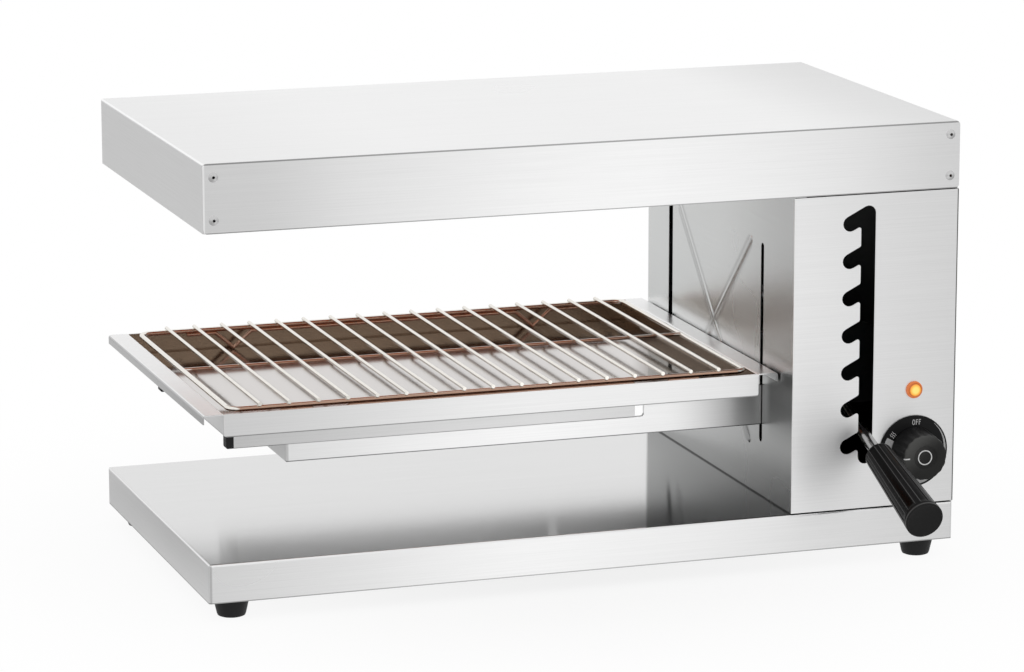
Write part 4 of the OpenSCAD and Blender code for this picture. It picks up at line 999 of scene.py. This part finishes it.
class MELTER_OT_lamp(bpy.types.Operator):
    """Make the pilot lamp's glowing lens"""

    bl_idname = "melter.lamp"
    bl_label = "Pilot lamp"

    # The glow from the lens's edge to its middle.
    stops = (
        (0.0, (0.4, 0.1, 0.03)),
        (0.12, (0.45, 0.1, 0.02)),
        (0.26, (0.2, 0.04, 0.01)),
        (0.4, (0.95, 0.45, 0.04)),
        (0.68, (1.0, 0.85, 0.22)),
    )

    def execute(self, context):
        low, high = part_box("lamp_lens")
        edge = sizes().lens_radius
        centre = np.array([(low[0] + high[0]) / 2, high[1], (low[2] + high[2]) / 2])
        collar, drop = np.array(LENS_COLLAR).T * MM
        dome, dome_radius = np.array(LENS_DOME).T * MM
        profile = np.concatenate([edge - drop, dome_radius])
        radius = np.repeat(profile[:, None], 64, axis=1)
        lens = lathe("lamp_dome", centre, (0, -1, 0), np.concatenate([collar, dome]), radius)
        material, tree, shader = plain_material("Lit amber lens", colour("lamp_colour"), roughness=0.12)
        middle = (centre[0] + 0.6 * MM, 0, centre[2] - 0.3 * MM)
        glow = new_node(tree, "ValToRGB", {"Fac": oval(tree, "SPHERICAL", middle, (edge, 0, edge))})
        ramp = glow.color_ramp.elements
        ramp[0].position, ramp[1].position = self.stops[0][0], self.stops[-1][0]
        for position, _ in self.stops[1:-1]:
            ramp.new(position)
        for stop, (_, tint) in zip(ramp, self.stops):
            stop.color = (*tint, 1)
        feed(tree, shader, {"Emission Color": glow.outputs["Color"], "Emission Strength": 0.8})
        own(lens, material, "housing")
        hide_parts("lamp_lens")
        return {"FINISHED"}


class MELTER_OT_stage(bpy.types.Operator):
    """Set the pale floor, the soft studio light and the camera"""

    bl_idname = "melter.stage"
    bl_label = "Stage"

    # The floor's level in gloss, and patches that add to it (middle and radii in metres, turn in degrees,
    # strength): a bright stripe in front, a bright pool behind and a dusky one on the left.
    gloss_level = 0.63
    patches = (
        ((0.46, -1.3), (0.58, 4.5), 23, 0.66),
        ((0.05, 1.45), (0.7, 0.9), 0, 0.5),
        ((-0.45, 0.25), (0.55, 0.75), 0, -0.38),
    )
    # Name, place, width in metres and power in watts of the soft boxes, and the point they face.
    soft_boxes = (
        ("key_softbox", (-1.3, -1.7, 1.9), 2.6, 17.0),
        ("fill_softbox", (1.9, -1.2, 1.3), 2.2, 10.0),
    )
    lit_point = (0, 0, 0.15)
    # Place of the camera in metres, and its turns about X, Y and Z in degrees.
    camera_place = (-1.07968, -3.18856, 0.89412)
    camera_turns = (90 - 12.22, 0.04, -18.56)

    def execute(self, context):
        self.floor()
        self.world(context)
        self.lamps(context)
        self.camera(context)
        context.scene.view_settings.view_transform = "Standard"
        return {"FINISHED"}

    @staticmethod
    def seen_directly(tree):
        """1 for rays from the camera, in gloss or through glass, else 0."""
        path = tree.nodes.new("ShaderNodeLightPath")
        seen = math_node(tree, "MAXIMUM", path.outputs["Is Camera Ray"], path.outputs["Is Glossy Ray"])
        return path, math_node(tree, "MAXIMUM", seen, path.outputs["Is Transmission Ray"])

    def floor(self):
        """A plain floor, white to the camera far out, with the object's soft shadow near it."""
        half, z = 6.0, -0.3 * MM
        points = np.array([[-half, -half, z], [half, -half, z], [half, half, z], [-half, half, z]])
        floor = mesh_object("studio_floor", (points, [[0, 1, 2, 3]]), smooth=False)
        material = bpy.data.materials.new("Studio floor")
        material.use_nodes = True
        tree = material.node_tree
        tree.nodes.clear()
        path, seen = self.seen_directly(tree)
        from_camera, in_gloss = path.outputs["Is Camera Ray"], path.outputs["Is Glossy Ray"]
        near = self.pool(tree, (0, 0), (0.75, 0.75), 0)
        camera_share = math_node(tree, "SUBTRACT", 1.0, math_node(tree, "MULTIPLY", near, 0.2))
        share = math_node(tree, "MAXIMUM", math_node(tree, "MULTIPLY", from_camera, camera_share),
                          math_node(tree, "SUBTRACT", seen, from_camera))
        gloss_level = self.gloss_level
        for middle, radii, turn, strength in self.patches:
            patch = math_node(tree, "MULTIPLY", self.pool(tree, middle, radii, turn), strength)
            gloss_level = math_node(tree, "ADD", gloss_level, patch)
        level = new_node(tree, "Mix", {"Factor": in_gloss, "A": 1.0, "B": gloss_level})
        glow = new_node(tree, "Emission", {"Strength": level.outputs["Result"]})
        paper = new_node(tree, "BsdfDiffuse", {"Color": (0.85, 0.85, 0.85, 1)})
        mix = new_node(tree, "MixShader", {"Fac": share, 1: paper.outputs[0], 2: glow.outputs[0]})
        new_node(tree, "OutputMaterial", {"Surface": mix.outputs[0]})
        floor.data.materials.append(material)

    @staticmethod
    def pool(tree, middle, radii, turn):
        """An oval patch on the floor with a soft edge."""
        patch = oval(tree, "QUADRATIC_SPHERE", (*middle, 0), (*radii, 1), turn)
        return smooth_rise(tree, patch, 0.0, 0.8)

    def world(self, context):
        """White where it is seen, softer as light on the object."""
        world = bpy.data.worlds.new("Studio")
        context.scene.world = world
        world.use_nodes = True
        tree = world.node_tree
        _, seen = self.seen_directly(tree)
        level = new_node(tree, "Mix", {"Factor": seen, "A": 0.62, "B": 1.0}).outputs["Result"]
        feed(tree, tree.nodes["Background"], {"Color": (1, 1, 1, 1), "Strength": level})

    def lamps(self, context):
        """Two large soft boxes: one high in front to the left, one to the right."""
        for name, place, width, power in self.soft_boxes:
            light = bpy.data.lights.new(name, "AREA")
            light.shape = "SQUARE"
            light.size = width
            light.energy = power
            lamp = bpy.data.objects.new(name, light)
            context.scene.collection.objects.link(lamp)
            lamp.location = place
            lamp.visible_glossy = False
            aim = np.array(self.lit_point) - np.array(place)
            tilt = math.atan2(np.hypot(aim[0], aim[1]), -aim[2])
            lamp.rotation_euler = (tilt, 0, math.atan2(-aim[0], aim[1]))

    def camera(self, context):
        """A long lens from the front left, a little above, level but for a hair of roll."""
        data = bpy.data.cameras.new("studio_camera")
        data.lens = sizes().focal_length
        data.sensor_width = 36.0
        data.clip_end = 100.0
        camera = bpy.data.objects.new("studio_camera", data)
        context.scene.collection.objects.link(camera)
        camera.location = self.camera_place
        camera.rotation_euler = np.radians(self.camera_turns)
        context.scene.camera = camera


class MELTER_PT_panel(bpy.types.Panel):
    """Lists the melter's operators and settings"""

    bl_idname = "MELTER_PT_panel"
    bl_label = "Cheese Melter"
    bl_space_type = "VIEW_3D"
    bl_region_type = "UI"
    bl_category = "Melter"

    def draw(self, context):
        layout = self.layout
        for group in (context.scene.melter_sizes, context.scene.melter_finish):
            for name in group.__annotations__:
                layout.prop(group, name)
        for operator in OPERATORS:
            layout.operator(operator.bl_idname)


OPERATORS = (
    MELTER_OT_sheets, MELTER_OT_tray, MELTER_OT_wires, MELTER_OT_fittings, MELTER_OT_grip, MELTER_OT_knob,
    MELTER_OT_dial, MELTER_OT_lamp, MELTER_OT_stage,
)
CLASSES = (MelterSizes, MelterFinish, *OPERATORS, MELTER_PT_panel)


def register():
    for cls in CLASSES:
        bpy.utils.register_class(cls)
    bpy.types.Scene.melter_sizes = PointerProperty(type=MelterSizes)
    bpy.types.Scene.melter_finish = PointerProperty(type=MelterFinish)


def unregister():
    del bpy.types.Scene.melter_finish
    del bpy.types.Scene.melter_sizes
    for cls in reversed(CLASSES):
        bpy.utils.unregister_class(cls)


def main():
    register()
    bpy.ops.melter.sheets()
    bpy.ops.melter.tray()
    bpy.ops.melter.wires()
    bpy.ops.melter.fittings()
    bpy.ops.melter.grip()
    bpy.ops.melter.knob()
    bpy.ops.melter.dial()
    bpy.ops.melter.lamp()
    bpy.ops.melter.stage()


if __name__ == "__main__":
    main()
